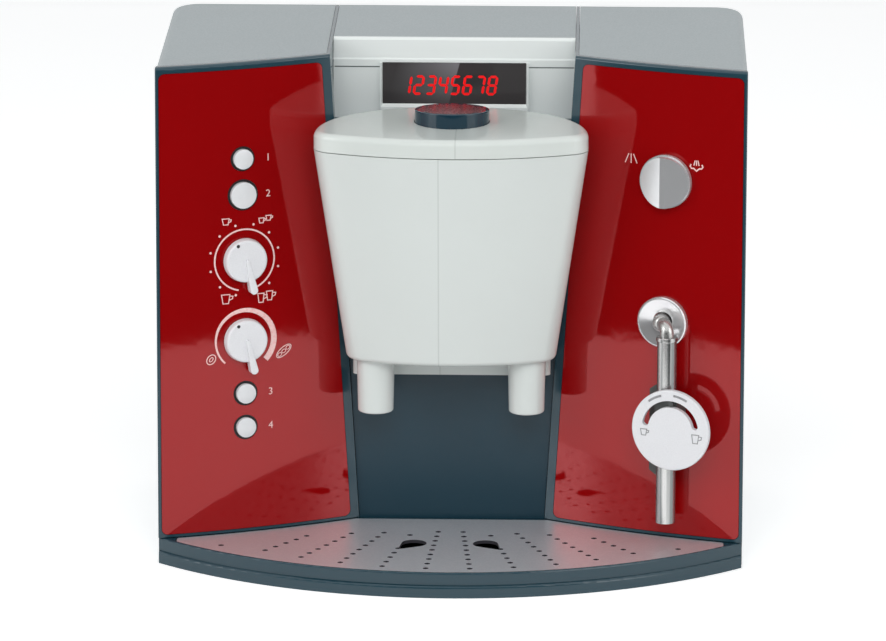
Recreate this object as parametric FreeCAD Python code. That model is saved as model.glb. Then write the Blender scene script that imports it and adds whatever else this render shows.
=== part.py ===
import FreeCAD, Part
import math
import os

from FreeCAD import Placement, Rotation, Vector

# Toy coffee maker, in millimetres.
# X runs to the right, Y runs away from the viewer, Z is up.
# While modelling, Y starts at the outer front corners of the housing.
# The finished solids are moved so that the origin is under the middle of the whole toy.

# Housing
body_width = 280.0
body_height = 243.0
body_depth = 155.0
skin = 2.4
shell_foot = 0.4
top_edge_round = 4.0
back_corner_round = 14.0
seam_gap = 0.2
seat_gap = 0.2
fit_gap = 0.3
slide_gap = 0.4
running_gap = 0.05
cut_margin = 1.0

# Wings, the two curved front halves
wing_radius = 400.0
wing_outer_angle = 15.8
wing_inner_top = 58.5
wing_inner_foot = 45.0
frame_thick = 4.0
frame_rim_outer = 1.6
frame_rim_top = 3.2
frame_rim_inner = 3.8
frame_rim_foot = 1.2
frame_edge_round = 1.6
frame_flange_thick = 1.6
frame_flange_depth = 47.0
panel_thick = 1.5
panel_corner_round = 3.0
side_lip_round = 0.8

# Recess between the wings
recess_depth = 42.0
deck_drop = 39.0
header_depth = 72.0
header_drop = 14.1
cap_lip_height = 3.4
cap_lean = 1.6
cap_depth = 4.0
cap_edge = 1.2
back_panel_half_width = 108.0
back_panel_drop = 14.0
back_panel_round = 12.0
back_rib_pitch = 9.0
back_rib_width = 2.4
back_rib_length = 70.0
back_rib_foot = 168.0
back_rib_count = 5

# Display
window_half_width = 34.9
window_drop = 11.8
window_height = 20.6
window_thick = 1.6
bezel_thick = 1.5
bezel_side = 1.0
bezel_cover = 0.3
bezel_sill = 2.8
bezel_slope = 1.4
bezel_round = 1.4

# Brew head
head_half_width = 65.0
head_middle = 3.0
head_front_reach = 23.0
head_back_reach = 55.0
head_foot = 98.0
head_foot_half_width = 50.0
head_foot_middle = 20.0
head_foot_front_reach = 20.0
head_foot_back_reach = 30.0
head_foot_round = 3.0
head_arc_angle = 66.0
underplate_height = 11.0
underplate_half_width = 47.5
underplate_front = 29.8
outlet_radius = 3.0

# Spouts
spout_spacing = 72.4
spout_radius = 9.1
spout_tip_radius = 8.5
spout_length = 26.5
spout_bore = 6.2
spout_y = 20.0
spout_lip_round = 1.0

# Lid
lid_height = 8.6
lid_round = 3.0
lid_skirt_depth = 3.0
lid_skirt_thick = 1.4
lid_skirt_fit = 1.0

# Start button and its hand pump
start_radius = 17.8
start_y = 24.0
start_front_rise = 7.1
start_back_rise = 4.8
start_edge_round = 0.6
start_flange = 1.6
start_flange_thick = 1.2
start_label_inset = 1.9
start_label_thick = 0.5
start_travel = 2.5
well_gap = 0.6
well_thick = 1.6
barrel_radius = 11.0
barrel_wall = 2.0
barrel_length = 32.0
barrel_flange_thick = 1.5
barrel_outlet = 2.0
plunger_radius = 3.0
piston_thick = 4.0
piston_drop = 9.0
spring_radius = 6.4
spring_wire = 1.0

# Side buttons
upper_button_x = 99.2
lower_button_x = 98.4
button_1_z = 196.1
button_2_z = 178.5
button_3_z = 80.9
button_4_z = 64.1
small_button_radius = 4.8
large_button_radius = 6.35
button_ring = 1.3
button_rise = 1.4
button_dome = 1.0
button_flange = 0.6
button_flange_thick = 1.2
button_stem_radius = 2.0
button_stem_length = 16.5
button_travel = 1.5

# Turning knobs
knob_x = 98.6
knob_1_z = 146.7
knob_2_z = 107.3
knob_radius = 10.7
knob_draft = 0.5
knob_rise = 4.0
knob_edge_round = 1.2
knob_gap = 0.3
fin_length = 16.4
fin_tip_radius = 1.9
fin_root_radius = 0.9
fin_rise = 1.8
fin_foot = 1.6
fin_turn = 12.0
knob_mark_radius = 0.85
knob_mark_depth = 0.9
knob_mark_place = 8.9
knob_mark_turn = 30.0
knob_shaft_radius = 3.0
clip_radius = 5.0
clip_thick = 1.5
bracket_depth = 14.0
bracket_thick = 2.0
bracket_half_width = 11.0
bracket_margin = 9.0
bracket_post_radius = 3.0
bracket_post_shift = 2.0

# Steam knob
steam_x = 102.3
steam_z = 187.3
steam_radius = 12.9
steam_base_rise = 2.4
steam_rim = 0.6
steam_ridge_rise = 6.4
steam_edge_rise = 3.2
steam_ridge_width = 2.6

# Frother
boss_x = 101.4
boss_z = 118.3
boss_radius = 12.4
boss_rise = 3.0
boss_rim = 1.0
boss_dish = 1.8
boss_eye_radius = 4.7
ball_radius = 4.4
ball_rise = 2.6
peg_radius = 3.3
tube_radius = 4.7
tube_bore = 3.35
tube_side = 5.7
tube_reach = 9.8
tube_bend = 4.4
tube_length = 91.5
tube_plug = 5.0
tube_collar = 0.5
tube_collar_height = 2.2
guide_top = 25.0
guide_foot = 77.0
guide_side = 8.6
guide_slope = 6.0
guide_back = 3.6
guide_block_half_height = 15.5
guide_block_side = 7.5
guide_cover = 0.9

# Froth dial
dial_radius = 19.6
dial_thick = 2.6
dial_side = 10.9
dial_drop = 48.3
dial_edge_round = 0.7
dial_gap = 0.3
dial_axle_radius = 2.0
dial_slot_radius = 12.9
dial_slot_width = 3.2
dial_slot_start = 14.0
dial_slot_end = 167.0
dial_groove_radius = 17.3
dial_groove_width = 0.7
dial_groove_depth = 0.5
dial_groove_near = 10.5
dial_groove_far = 34.0
dial_turn = 4.6
stop_pin_radius = 1.3
stop_pin_sink = 0.5

# Drip tray and plate
tray_nose = 56.0
tray_height = 12.0
tray_floor = 1.8
tray_wall = 1.8
tray_shoulder = 3.6
tray_step = 1.7
tray_step_height = 5.8
tray_band_round = 1.2
tray_rim = 1.2
tray_rim_round = 0.8
plate_thick = 1.6
plate_ledge = 2.6
plate_wing_gap = 0.8
plate_end_gap = 9.0
plate_back = 39.0
plate_end_round = 2.2
plate_end_straight = 0.5
drop_hole_x = 17.1
drop_hole_y = -3.6
drop_hole_radius = 6.0
drop_tip_length = 10.2
drop_tip_radius = 1.2
drop_tip_turn = 35.0
dot_radius = 1.5
dot_corners = 6
dot_pitch = 7.9
dot_fan_y = 101.0
dot_fan_step = 8.1
dot_first = 84.6
dot_margin = 5.5
dot_wing_gap = 17.0
dot_back_limit = 18.0
dot_drop_gap = 4.0

# Fasteners
screw_head_radius = 3.2
screw_head_height = 1.6
screw_shank_radius = 1.4
screw_length = 9.0
screw_inset = 9.0
screw_slot_width = 0.6
screw_slot_depth = 0.6

LEFT = -1
RIGHT = 1
SIDES = ((LEFT, "left"), (RIGHT, "right"))

up = Vector(0, 0, 1)
half_width = body_width / 2
inner_width = half_width - skin
wing_foot = tray_height + slide_gap
deck_height = body_height - deck_drop
header_height = body_height - header_drop
window_top = body_height - window_drop
window_foot = window_top - window_height
plate_end = half_width - plate_end_gap
cover_half_width = wing_inner_top - seam_gap
rib_half_width = wing_inner_top + frame_flange_thick - seam_gap / 2
plate_inset = tray_step + tray_rim
pocket_depth = panel_thick + seat_gap + seat_gap
bowl_back = recess_depth - seat_gap
lid_foot = deck_height + slide_gap
lid_top = lid_foot + lid_height
origin_shift = (tray_nose - body_depth) / 2


# Helpers

def box(x0, x1, y0, y1, z0, z1):
    return Part.makeBox(x1 - x0, y1 - y0, z1 - z0, Vector(x0, y0, z0))


def rod(radius, foot, top, x=0.0, y=0.0):
    return Part.makeCylinder(radius, top - foot, Vector(x, y, foot))


def prism(points, direction):
    wire = Part.makePolygon(points + [points[0]])
    return Part.Face(wire).extrude(direction)


def turned(profile):
    """Solid of revolution about Z from (radius, height) pairs."""
    points = [Vector(r, 0, z) for r, z in profile]
    face = Part.Face(Part.makePolygon(points + [points[0]]))
    return face.revolve(Vector(0, 0, 0), up, 360)


def fused(shapes):
    whole = shapes[0].fuse(shapes[1:]) if len(shapes) > 1 else shapes[0]
    return whole.removeSplitter()


def edges_along(shape, direction):
    found = []
    for edge in shape.Edges:
        if edge.Curve.TypeId != "Part::GeomLine":
            continue
        if edge.tangentAt(edge.FirstParameter).cross(direction).Length < 1e-6:
            found.append(edge)
    return found


def edges_at_height(shape, z):
    return [e for e in shape.Edges if abs(e.BoundBox.ZMin - z) < 1e-4 and abs(e.BoundBox.ZMax - z) < 1e-4]


def mirrored(shape):
    return shape.mirror(Vector(0, 0, 0), Vector(1, 0, 0))


def on_side(shape, side):
    return shape if side == RIGHT else mirrored(shape)


# Wing geometry

def wing_axis(side):
    angle = math.radians(wing_outer_angle)
    return Vector(side * (half_width + wing_radius * math.sin(angle)), wing_radius * math.cos(angle), 0)


def wing_column(side, depth, foot, top):
    """Round column whose front lies this deep behind the wing's face."""
    return Part.makeCylinder(wing_radius - depth, top - foot, wing_axis(side) + Vector(0, 0, foot))


def wing_layer(side, front, back, foot, top):
    return wing_column(side, front, foot, top).cut(wing_column(side, back, foot, top))


def wing_inner(z):
    share = (z - wing_foot) / (body_height - wing_foot)
    return wing_inner_foot + (wing_inner_top - wing_inner_foot) * share


def wing_y(x, depth=0.0):
    axis = wing_axis(RIGHT)
    return axis.y - math.sqrt((wing_radius - depth) ** 2 - (axis.x - x) ** 2)


def wing_station(side, x, z):
    """Placement on the wing's face: local X right, Y up, Z straight out."""
    spot = Vector(side * x, wing_y(x), z)
    out = (spot - wing_axis(side) - Vector(0, 0, z)).normalize()
    right = up.cross(out)
    return Placement(spot, Rotation(right, up, out, "ZXY"))


def at_station(shape, side, x, z):
    moved = shape.copy()
    moved.Placement = wing_station(side, x, z).multiply(moved.Placement)
    return moved


def wing_curtain(side, outer, top, inner, foot, corner):
    """Outline of a wing seen from the front, drawn in by four rims, as a deep block."""
    z0 = wing_foot + foot
    z1 = body_height - top
    x_out = half_width - outer
    shape = [(wing_inner(z0) + inner, z0), (x_out, z0), (x_out, z1), (wing_inner(z1) + inner, z1)]
    near = -tray_nose
    points = [Vector(side * x, near, z) for x, z in shape]
    block = prism(points, Vector(0, frame_flange_depth - near, 0))
    return block.makeFillet(corner, edges_along(block, Vector(0, 1, 0))) if corner else block


# Wings

def control_holes(side):
    """Holes that the buttons, knob shafts and frother ball pass through."""
    foot = -frame_thick - fit_gap
    rim = panel_thick + seat_gap
    shaft = knob_shaft_radius + running_gap
    if side == LEFT:
        places = [(radius + button_ring, x, z) for radius, x, z in button_list()]
        places += [(shaft, knob_x, z) for z in (knob_1_z, knob_2_z)]
    else:
        places = [(shaft, steam_x, steam_z), (boss_eye_radius, boss_x, boss_z)]
    return [at_station(rod(radius, foot, rim), side, x, z) for radius, x, z in places]


def wing_frame(side):
    plate = wing_layer(side, 0, frame_thick, wing_foot, body_height)
    plate = plate.common(wing_curtain(side, 0, 0, 0, 0, 0))
    slab = [(wing_inner(z) + t, z) for z, t in
            ((wing_foot, 0), (wing_foot, frame_flange_thick),
             (body_height, frame_flange_thick), (body_height, 0))]
    points = [Vector(side * x, 0, z) for x, z in slab]
    flange = prism(points, Vector(0, frame_flange_depth, 0))
    flange = flange.common(wing_column(side, 0, wing_foot, body_height))
    whole = fused([plate, flange])
    front_top = [e for e in edges_at_height(whole, body_height)
                 if e.Curve.TypeId == "Part::GeomCircle" and abs(e.Curve.Radius - wing_radius) < 1e-3]
    whole = whole.makeFillet(frame_edge_round, front_top)
    corner = [e for e in edges_along(whole, up)
              if abs(e.CenterOfMass.x - side * half_width) < 1e-3 and e.CenterOfMass.y < frame_thick / 2]
    whole = whole.makeFillet(side_lip_round, corner)
    pocket = wing_layer(side, -1, pocket_depth, wing_foot, body_height)
    pocket = pocket.common(wing_curtain(side, frame_rim_outer, frame_rim_top, frame_rim_inner,
                                        frame_rim_foot, panel_corner_round))
    return whole.cut([pocket] + control_holes(side))


def wing_panel(side):
    sheet = wing_layer(side, seat_gap, seat_gap + panel_thick, wing_foot, body_height)
    sheet = sheet.common(wing_curtain(side, frame_rim_outer + seat_gap, frame_rim_top + seat_gap,
                                      frame_rim_inner + seat_gap, frame_rim_foot + seat_gap,
                                      panel_corner_round - seat_gap))
    return sheet.cut(control_holes(side))


# Outer housing

def housing_block(inset, seam):
    """Right half of the outer block with its rounded back corner and top edges."""
    x1 = half_width - inset
    y1 = body_depth - inset
    z1 = body_height - inset
    block = box(seam, x1, -tray_nose, y1, shell_foot - inset, z1)
    corner = [e for e in edges_along(block, up)
              if math.hypot(e.CenterOfMass.x - x1, e.CenterOfMass.y - y1) < 1e-3]
    block = block.makeFillet(back_corner_round - inset, corner)
    rim = [e for e in edges_at_height(block, z1)
           if e.BoundBox.XMax > seam + skin and e.BoundBox.YMax > 0]
    return block.makeFillet(top_edge_round - inset, rim)


def back_opening(gap):
    """Block that the back panel fills, smaller by a gap."""
    half = back_panel_half_width - gap
    top = body_height - back_panel_drop - gap
    block = box(-half, half, body_depth - back_corner_round, body_depth + skin, shell_foot - skin, top)
    high = [e for e in edges_along(block, Vector(0, 1, 0)) if e.CenterOfMass.z > top - skin]
    return block.makeFillet(back_panel_round, high)


def side_shell(side):
    seam = rib_half_width + seam_gap
    shell = housing_block(0, seam).cut(housing_block(skin, seam - skin))
    shell = shell.common(wing_column(RIGHT, frame_thick + seam_gap, shell_foot - skin, body_height + skin))
    shell = shell.cut(back_opening(0))
    return on_side(shell, side)


def top_cover():
    start = header_depth + cap_depth + seam_gap
    block = box(-cover_half_width, cover_half_width, start, body_depth, shell_foot, body_height)
    edge = [e for e in edges_at_height(block, body_height) if e.CenterOfMass.y > body_depth - skin]
    block = block.makeFillet(top_edge_round, edge)
    hollow = box(-half_width, half_width, 0, body_depth - skin, 0, body_height - skin)
    low_end = body_height - top_edge_round - back_panel_round
    low = box(-half_width, half_width, 0, body_depth + skin, 0, low_end)
    keep = block.cut([hollow, back_opening(0)])
    return keep.cut(low)


def back_cover():
    block = back_opening(seam_gap)
    layer = box(-half_width, half_width, body_depth - skin, body_depth, shell_foot, body_height)
    plate = block.common(layer)
    middle = (back_rib_count - 1) / 2
    cuts = []
    for row in range(back_rib_count):
        z = back_rib_foot + row * back_rib_pitch
        length = back_rib_length * (1 - abs(row - middle) / back_rib_count)
        slot = box(-length / 2, length / 2, body_depth - 2 * skin, body_depth + skin, z, z + back_rib_width)
        cuts.append(slot)
    for x, z in screw_places():
        face = Vector(x, body_depth, z)
        inwards = Vector(0, -1, 0)
        cuts.append(Part.makeCylinder(screw_shank_radius + running_gap, 2 * skin, face, inwards))
        cuts.append(Part.makeCylinder(screw_head_radius + seat_gap, screw_head_height, face, inwards))
    return plate.cut(cuts)


def screw_places():
    x = back_panel_half_width - screw_inset
    low = shell_foot + skin + screw_inset
    high = body_height - back_panel_drop - screw_inset - back_panel_round / 2
    return [(side * x, z) for side in (LEFT, RIGHT) for z in (low, high)]


def screws():
    made = []
    for x, z in screw_places():
        head = rod(screw_head_radius, 0, screw_head_height)
        head = head.makeChamfer(screw_head_height / 4, edges_at_height(head, screw_head_height))
        slot = box(-screw_head_radius, screw_head_radius, -screw_slot_width / 2, screw_slot_width / 2,
                   screw_head_height - screw_slot_depth, screw_head_height + cut_margin)
        shank = rod(screw_shank_radius, -screw_length, 0)
        body = fused([head.cut(slot), shank])
        body.Placement = Placement(Vector(x, body_depth - screw_head_height, z),
                                   Rotation(Vector(1, 0, 0), -90))
        made.append(body)
    return Part.makeCompound(made)


def screw_posts():
    """Posts inside the housing that the back panel is screwed to."""
    made = []
    for x, z in screw_places():
        front = body_depth - skin - seat_gap
        length = screw_length + 2 * skin
        start = Vector(x, front, z)
        inwards = Vector(0, -1, 0)
        wall = math.copysign(inner_width - seat_gap, x)
        post = Part.makeCylinder(screw_head_radius, length, start, inwards)
        bore = Part.makeCylinder(screw_shank_radius + running_gap, length - skin, start, inwards)
        reach = box(min(x, wall), max(x, wall), front - length, front - length + skin,
                    z - screw_head_radius, z + screw_head_radius)
        made.append(fused([post, reach]).cut(bore))
    return made


def base_plate():
    front = recess_depth + skin + fit_gap
    plate = box(-inner_width + fit_gap, inner_width - fit_gap, front, body_depth - skin - fit_gap, 0, skin)
    return plate.makeFillet(back_corner_round - skin - fit_gap,
                            [e for e in edges_along(plate, up) if e.CenterOfMass.y > front + skin])


# Recess, header and display

def recess_panel():
    """Upright back of the recess, between the wings' inner edges."""
    top = deck_height - skin - seat_gap
    line = [(wing_inner(z) - seat_gap, z) for z in (shell_foot, top)]
    points = [Vector(-line[0][0], recess_depth, line[0][1]), Vector(line[0][0], recess_depth, line[0][1]),
              Vector(line[1][0], recess_depth, line[1][1]), Vector(-line[1][0], recess_depth, line[1][1])]
    return prism(points, Vector(0, skin, 0))


def recess_deck():
    """Shelf behind the brew head, under the header."""
    half = wing_inner(deck_height - skin) - seat_gap
    wide = wing_inner_top - seat_gap
    middle = frame_flange_depth + seam_gap
    front = box(-half, half, recess_depth, middle, deck_height - skin, deck_height)
    back = box(-wide, wide, middle, header_depth + cap_depth, deck_height - skin, deck_height)
    return fused([front, back])


def recess_cheek(side):
    """Side wall above the shelf, drawn out to the back as a rib beside the top cover."""
    slab = box(wing_inner_top, rib_half_width, frame_flange_depth + seam_gap, body_depth,
               deck_height - skin, body_height)
    edge = [e for e in edges_at_height(slab, body_height) if e.CenterOfMass.y > body_depth - skin]
    slab = slab.makeFillet(top_edge_round, edge)
    hollow = box(0, half_width, header_depth + cap_depth, body_depth - skin, 0, body_height - skin)
    return on_side(slab.cut([hollow, back_opening(0)]), side)


def window_block(gap):
    return box(-window_half_width + gap, window_half_width - gap, header_depth - skin,
               header_depth + cap_depth + skin, window_foot + gap, window_top - gap)


def header_panel():
    half = cover_half_width
    plate = box(-half, half, header_depth, header_depth + skin, deck_height, header_height)
    return plate.cut(window_block(0))


def header_cap():
    foot = header_height + seam_gap
    lip = foot + cap_lip_height
    y = header_depth
    side = [(y, foot), (y, lip), (y + cap_lean / 3, lip + cap_lean / 2),
            (y + cap_lean, body_height - cap_edge), (y + cap_lean + cap_edge, body_height),
            (y + cap_depth, body_height), (y + cap_depth, foot)]
    points = [Vector(-cover_half_width, a, b) for a, b in side]
    return prism(points, Vector(2 * cover_half_width, 0, 0)).cut(window_block(0))


def display_window():
    block = window_block(seam_gap)
    layer = box(-half_width, half_width, header_depth + seat_gap, header_depth + seat_gap + window_thick,
                0, body_height)
    return block.common(layer)


def display_bezel():
    """Frame along the window's sides and foot, open at the top."""
    back = header_depth - seat_gap / 2
    front = back - bezel_thick
    half = window_half_width + bezel_side
    outer = box(-half, half, front, back, window_foot - bezel_sill, window_top)
    low = [e for e in edges_along(outer, Vector(0, 1, 0)) if e.CenterOfMass.z < window_foot]
    outer = outer.makeFillet(bezel_round, low)
    x = window_half_width - bezel_cover
    z = window_foot + bezel_cover
    rings = []
    for y, grow in ((front, bezel_side / 2), (back, 0)):
        foot = z - bezel_slope if grow else z
        corners = [Vector(-x - grow, y, foot), Vector(x + grow, y, foot),
                   Vector(x + grow, y, body_height), Vector(-x - grow, y, body_height)]
        rings.append(Part.makePolygon(corners + [corners[0]]))
    return outer.cut(Part.makeLoft(rings, True, True))


# Brew head

def oval_end(half, reach):
    """Corner radius and long radius of one end of an oval, from its half width and reach."""
    lean = math.radians(head_arc_angle)
    share = (1 - math.sin(lean)) / math.cos(lean)
    corner = (reach - half * share) / (1 - share)
    return corner, corner + (half - corner) / math.cos(lean)


def level_arc(x, y, z, radius, start, end):
    turns = (start, (start + end) / 2, end)
    return Part.Arc(*[Vector(x + radius * math.cos(t), y + radius * math.sin(t), z) for t in turns]).toShape()


def oval(z, half, middle, front, back, inset):
    """Outline of six tangent arcs, widest at its middle line."""
    lean = math.radians(head_arc_angle)
    near, near_long = oval_end(half, front)
    far, far_long = oval_end(half, back)
    arcs = ((0, middle - front + near_long, near_long, math.pi + lean, 2 * math.pi - lean),
            (half - near, middle, near, -lean, 0),
            (half - far, middle, far, 0, lean),
            (0, middle + back - far_long, far_long, lean, math.pi - lean),
            (far - half, middle, far, math.pi - lean, math.pi),
            (near - half, middle, near, math.pi, math.pi + lean))
    return Part.Wire([level_arc(x, y, z, radius - inset, start, end) for x, y, radius, start, end in arcs])


def head_top_outline(z, inset):
    return oval(z, head_half_width, head_middle, head_front_reach, head_back_reach, inset)


def head_foot_outline(z, inset):
    return oval(z, head_foot_half_width, head_foot_middle, head_foot_front_reach, head_foot_back_reach, inset)


def in_front_of(shape, y):
    return shape.common(box(-half_width, half_width, -tray_nose, y, 0, body_height))


def head_body(inset, cut_y):
    """Tapering oval body between the foot outline and the rim outline, cut straight at the back."""
    outlines = [head_foot_outline(head_foot, inset), head_top_outline(deck_height, inset)]
    return in_front_of(Part.makeLoft(outlines, True, True), cut_y)


def bowl():
    body = head_body(0, bowl_back)
    low_edges = [e for e in edges_at_height(body, head_foot) if e.CenterOfMass.y < bowl_back - skin]
    body = body.makeFillet(head_foot_round, low_edges)
    floor = head_foot + skin
    hollow = head_body(skin, bowl_back - skin)
    hollow = hollow.cut(box(-half_width, half_width, -tray_nose, body_depth, 0, floor))
    outlets = [rod(outlet_radius, head_foot - cut_margin, floor + cut_margin, x, spout_y)
               for x in (-spout_spacing / 2, spout_spacing / 2)]
    return body.cut([hollow] + outlets)


def underplate():
    """Box under the back of the brew head, behind the spouts."""
    block = box(-underplate_half_width, underplate_half_width, underplate_front, bowl_back,
                head_foot - seat_gap - underplate_height, head_foot - seat_gap)
    front_edges = [e for e in edges_along(block, up) if e.CenterOfMass.y < underplate_front + skin]
    return block.makeFillet(head_foot_round, front_edges)


def spout(side):
    top = head_foot
    tip = top - spout_length
    wall = spout_radius - spout_bore
    body = turned([(outlet_radius, top), (spout_radius, top), (spout_tip_radius, tip),
                   (spout_bore, tip), (spout_bore, top - wall), (outlet_radius, top - wall)])
    body = body.makeFillet(spout_lip_round, [e for e in edges_at_height(body, tip)
                                             if e.Curve.Radius > spout_bore + spout_lip_round])
    body.translate(Vector(side * spout_spacing / 2, spout_y, 0))
    return body


# Lid, start button and pump

def lid_block(inset, foot, top):
    return Part.Face(head_top_outline(foot, inset)).extrude(Vector(0, 0, top - foot))


def lid_skirt(top):
    """Wall under the lid that drops into the bowl's mouth."""
    foot = lid_foot - lid_skirt_depth
    outer = skin + lid_skirt_fit
    inner = outer + lid_skirt_thick
    wall = in_front_of(lid_block(outer, foot, top), bowl_back - outer)
    return wall.cut(in_front_of(lid_block(inner, foot, top), bowl_back - inner))


def lid():
    block = lid_block(0, lid_foot, lid_top)
    block = block.makeFillet(lid_round, edges_at_height(block, lid_top))
    ceiling = lid_top - skin
    body = block.cut(lid_block(skin, lid_foot - cut_margin, ceiling))
    well_in = start_radius + start_flange + well_gap
    well = rod(well_in + well_thick, lid_foot, ceiling + seat_gap, 0, start_y)
    room = rod(well_in, lid_foot - lid_skirt_depth - cut_margin, ceiling, 0, start_y)
    hole = rod(start_radius + fit_gap, lid_foot, lid_top + cut_margin, 0, start_y)
    return fused([body, lid_skirt(ceiling + seat_gap), well]).cut([room, hole])


def start_button():
    y = start_y
    front = lid_top + start_front_rise
    back = lid_top + start_back_rise
    ceiling = lid_top - skin
    flange_top = ceiling - seat_gap
    body = rod(start_radius, flange_top - start_flange_thick, front + cut_margin, 0, y)
    slope = [Vector(-half_width, y - start_radius, front), Vector(-half_width, y + start_radius, back),
             Vector(-half_width, y + start_radius, front + start_radius),
             Vector(-half_width, y - start_radius, front + start_radius)]
    body = body.cut(prism(slope, Vector(body_width, 0, 0)))
    rim = [e for e in body.Edges if e.BoundBox.ZMin > lid_top and e.Curve.TypeId == "Part::GeomEllipse"]
    body = body.makeFillet(start_edge_round, rim)
    flange = rod(start_radius + start_flange, flange_top - start_flange_thick, flange_top, 0, y)
    piston_top = lid_foot - piston_drop
    stem = rod(plunger_radius, piston_top - piston_thick, flange_top, 0, y)
    piston = rod(barrel_radius - barrel_wall - seat_gap, piston_top - piston_thick, piston_top, 0, y)
    body = fused([body, flange, stem, piston])
    return body.cut(start_label_block(start_radius - start_label_inset + seat_gap / 2, cut_margin))


def start_label_block(radius, top):
    """Thin disc let into the sloping top of the start button."""
    y = start_y
    front = lid_top + start_front_rise
    fall = (start_front_rise - start_back_rise) / (2 * start_radius)
    tilt = math.degrees(math.atan(fall))
    disc = rod(radius, -start_label_thick, top)
    disc.Placement = Placement(Vector(0, y, front - fall * start_radius), Rotation(Vector(1, 0, 0), -tilt))
    return disc


def start_label():
    return start_label_block(start_radius - start_label_inset, -seat_gap / 2)


def barrel_floor():
    """Height of the pump's floor, inside."""
    return lid_foot + seat_gap / 2 - barrel_length + barrel_wall


def pump_barrel():
    y = start_y
    foot = lid_foot + seat_gap / 2
    top = foot + barrel_flange_thick
    flange = rod(start_radius + start_flange + well_gap - seat_gap / 2, foot, top, 0, y)
    tube = rod(barrel_radius, foot - barrel_length, foot, 0, y)
    room = rod(barrel_radius - barrel_wall, barrel_floor(), foot, 0, y)
    bore = rod(plunger_radius + fit_gap, foot, top + cut_margin, 0, y)
    outlet = rod(barrel_outlet, foot - barrel_length - cut_margin, barrel_floor(), 0, y)
    return fused([flange, tube]).cut([room, bore, outlet])


def start_spring():
    """Return spring between the pump's floor and the piston, as the sleeve that it fills."""
    foot = barrel_floor() + seat_gap / 2
    top = lid_foot - piston_drop - piston_thick - seat_gap / 2
    outer = rod(spring_radius + spring_wire / 2, foot, top, 0, start_y)
    return outer.cut(rod(spring_radius - spring_wire / 2, foot, top, 0, start_y))


# Side buttons

def button_list():
    return ((small_button_radius, upper_button_x, button_1_z),
            (large_button_radius, upper_button_x, button_2_z),
            (small_button_radius, lower_button_x, button_3_z),
            (small_button_radius, lower_button_x, button_4_z))


def side_button(radius, x, z):
    back = -frame_thick - fit_gap
    cap = rod(radius, back, button_rise)
    bulge = (radius ** 2 + button_dome ** 2) / (2 * button_dome)
    ball = Part.makeSphere(bulge, Vector(0, 0, button_rise + button_dome - bulge))
    dome = rod(radius, button_rise - seat_gap, button_rise + button_dome).common(ball)
    flange = rod(radius + button_ring + button_flange, back - button_flange_thick, back)
    stem = rod(button_stem_radius, -button_stem_length, back)
    whole = fused([cap, dome, flange, stem])
    return at_station(whole, LEFT, x, z)


# Knobs

def fin():
    """Raised pointer: thin at the knob's middle, wider and rounded at its tip."""
    reach = fin_length - fin_tip_radius
    lean = math.asin((fin_tip_radius - fin_root_radius) / reach)
    root_x = fin_root_radius * math.cos(lean)
    root_y = fin_root_radius * math.sin(lean)
    tip_x = fin_tip_radius * math.cos(lean)
    tip_y = fin_tip_radius * math.sin(lean)
    a = Vector(root_x, root_y, 0)
    b = Vector(tip_x, -reach + tip_y, 0)
    c = Vector(0, -fin_length, 0)
    d = Vector(-tip_x, -reach + tip_y, 0)
    e = Vector(-root_x, root_y, 0)
    f = Vector(0, fin_root_radius, 0)
    wire = Part.Wire([Part.LineSegment(a, b).toShape(), Part.Arc(b, c, d).toShape(),
                      Part.LineSegment(d, e).toShape(), Part.Arc(e, f, a).toShape()])
    body = Part.Face(wire).extrude(Vector(0, 0, knob_rise + fin_rise - fin_foot))
    body.translate(Vector(0, 0, fin_foot))
    top = edges_at_height(body, knob_rise + fin_rise)
    return body.makeFillet(fin_root_radius / 2, top)


def knob(z):
    body = turned([(0, knob_gap), (knob_radius, knob_gap),
                   (knob_radius - knob_draft, knob_rise), (0, knob_rise)])
    body = body.makeFillet(knob_edge_round, edges_at_height(body, knob_rise))
    pointer = fin()
    pointer.rotate(Vector(0, 0, 0), up, fin_turn)
    shaft = rod(knob_shaft_radius, -bracket_depth - bracket_thick - seat_gap - clip_thick, knob_gap)
    whole = fused([body, pointer, shaft])
    turn = math.radians(90 + knob_mark_turn)
    mark = rod(knob_mark_radius, knob_rise - knob_mark_depth, knob_rise + cut_margin,
               knob_mark_place * math.cos(turn), knob_mark_place * math.sin(turn))
    return at_station(whole.cut(mark), LEFT, knob_x, z)


def knob_clips():
    """Push-on washers that hold the knob shafts behind the bracket."""
    made = []
    for side, x, z in ((LEFT, knob_x, knob_1_z), (LEFT, knob_x, knob_2_z), (RIGHT, steam_x, steam_z)):
        back = -bracket_depth - bracket_thick - seat_gap
        ring = rod(clip_radius, back - clip_thick, back).cut(rod(knob_shaft_radius, back - clip_thick, back))
        made.append(at_station(ring, side, x, z))
    return made


def steam_knob():
    base = rod(steam_radius, knob_gap, steam_base_rise)
    roof = [(-steam_radius, steam_edge_rise), (-steam_ridge_width / 2, steam_ridge_rise),
            (steam_ridge_width / 2, steam_ridge_rise), (steam_radius, steam_edge_rise),
            (steam_radius, steam_base_rise / 2), (-steam_radius, steam_base_rise / 2)]
    points = [Vector(x, -steam_radius, z) for x, z in roof]
    ridge = prism(points, Vector(0, 2 * steam_radius, 0))
    ridge = ridge.common(rod(steam_radius - steam_rim, 0, steam_ridge_rise))
    shaft = rod(knob_shaft_radius, -bracket_depth - bracket_thick - seat_gap - clip_thick, knob_gap)
    return at_station(fused([base, ridge, shaft]), RIGHT, steam_x, steam_z)


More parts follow.
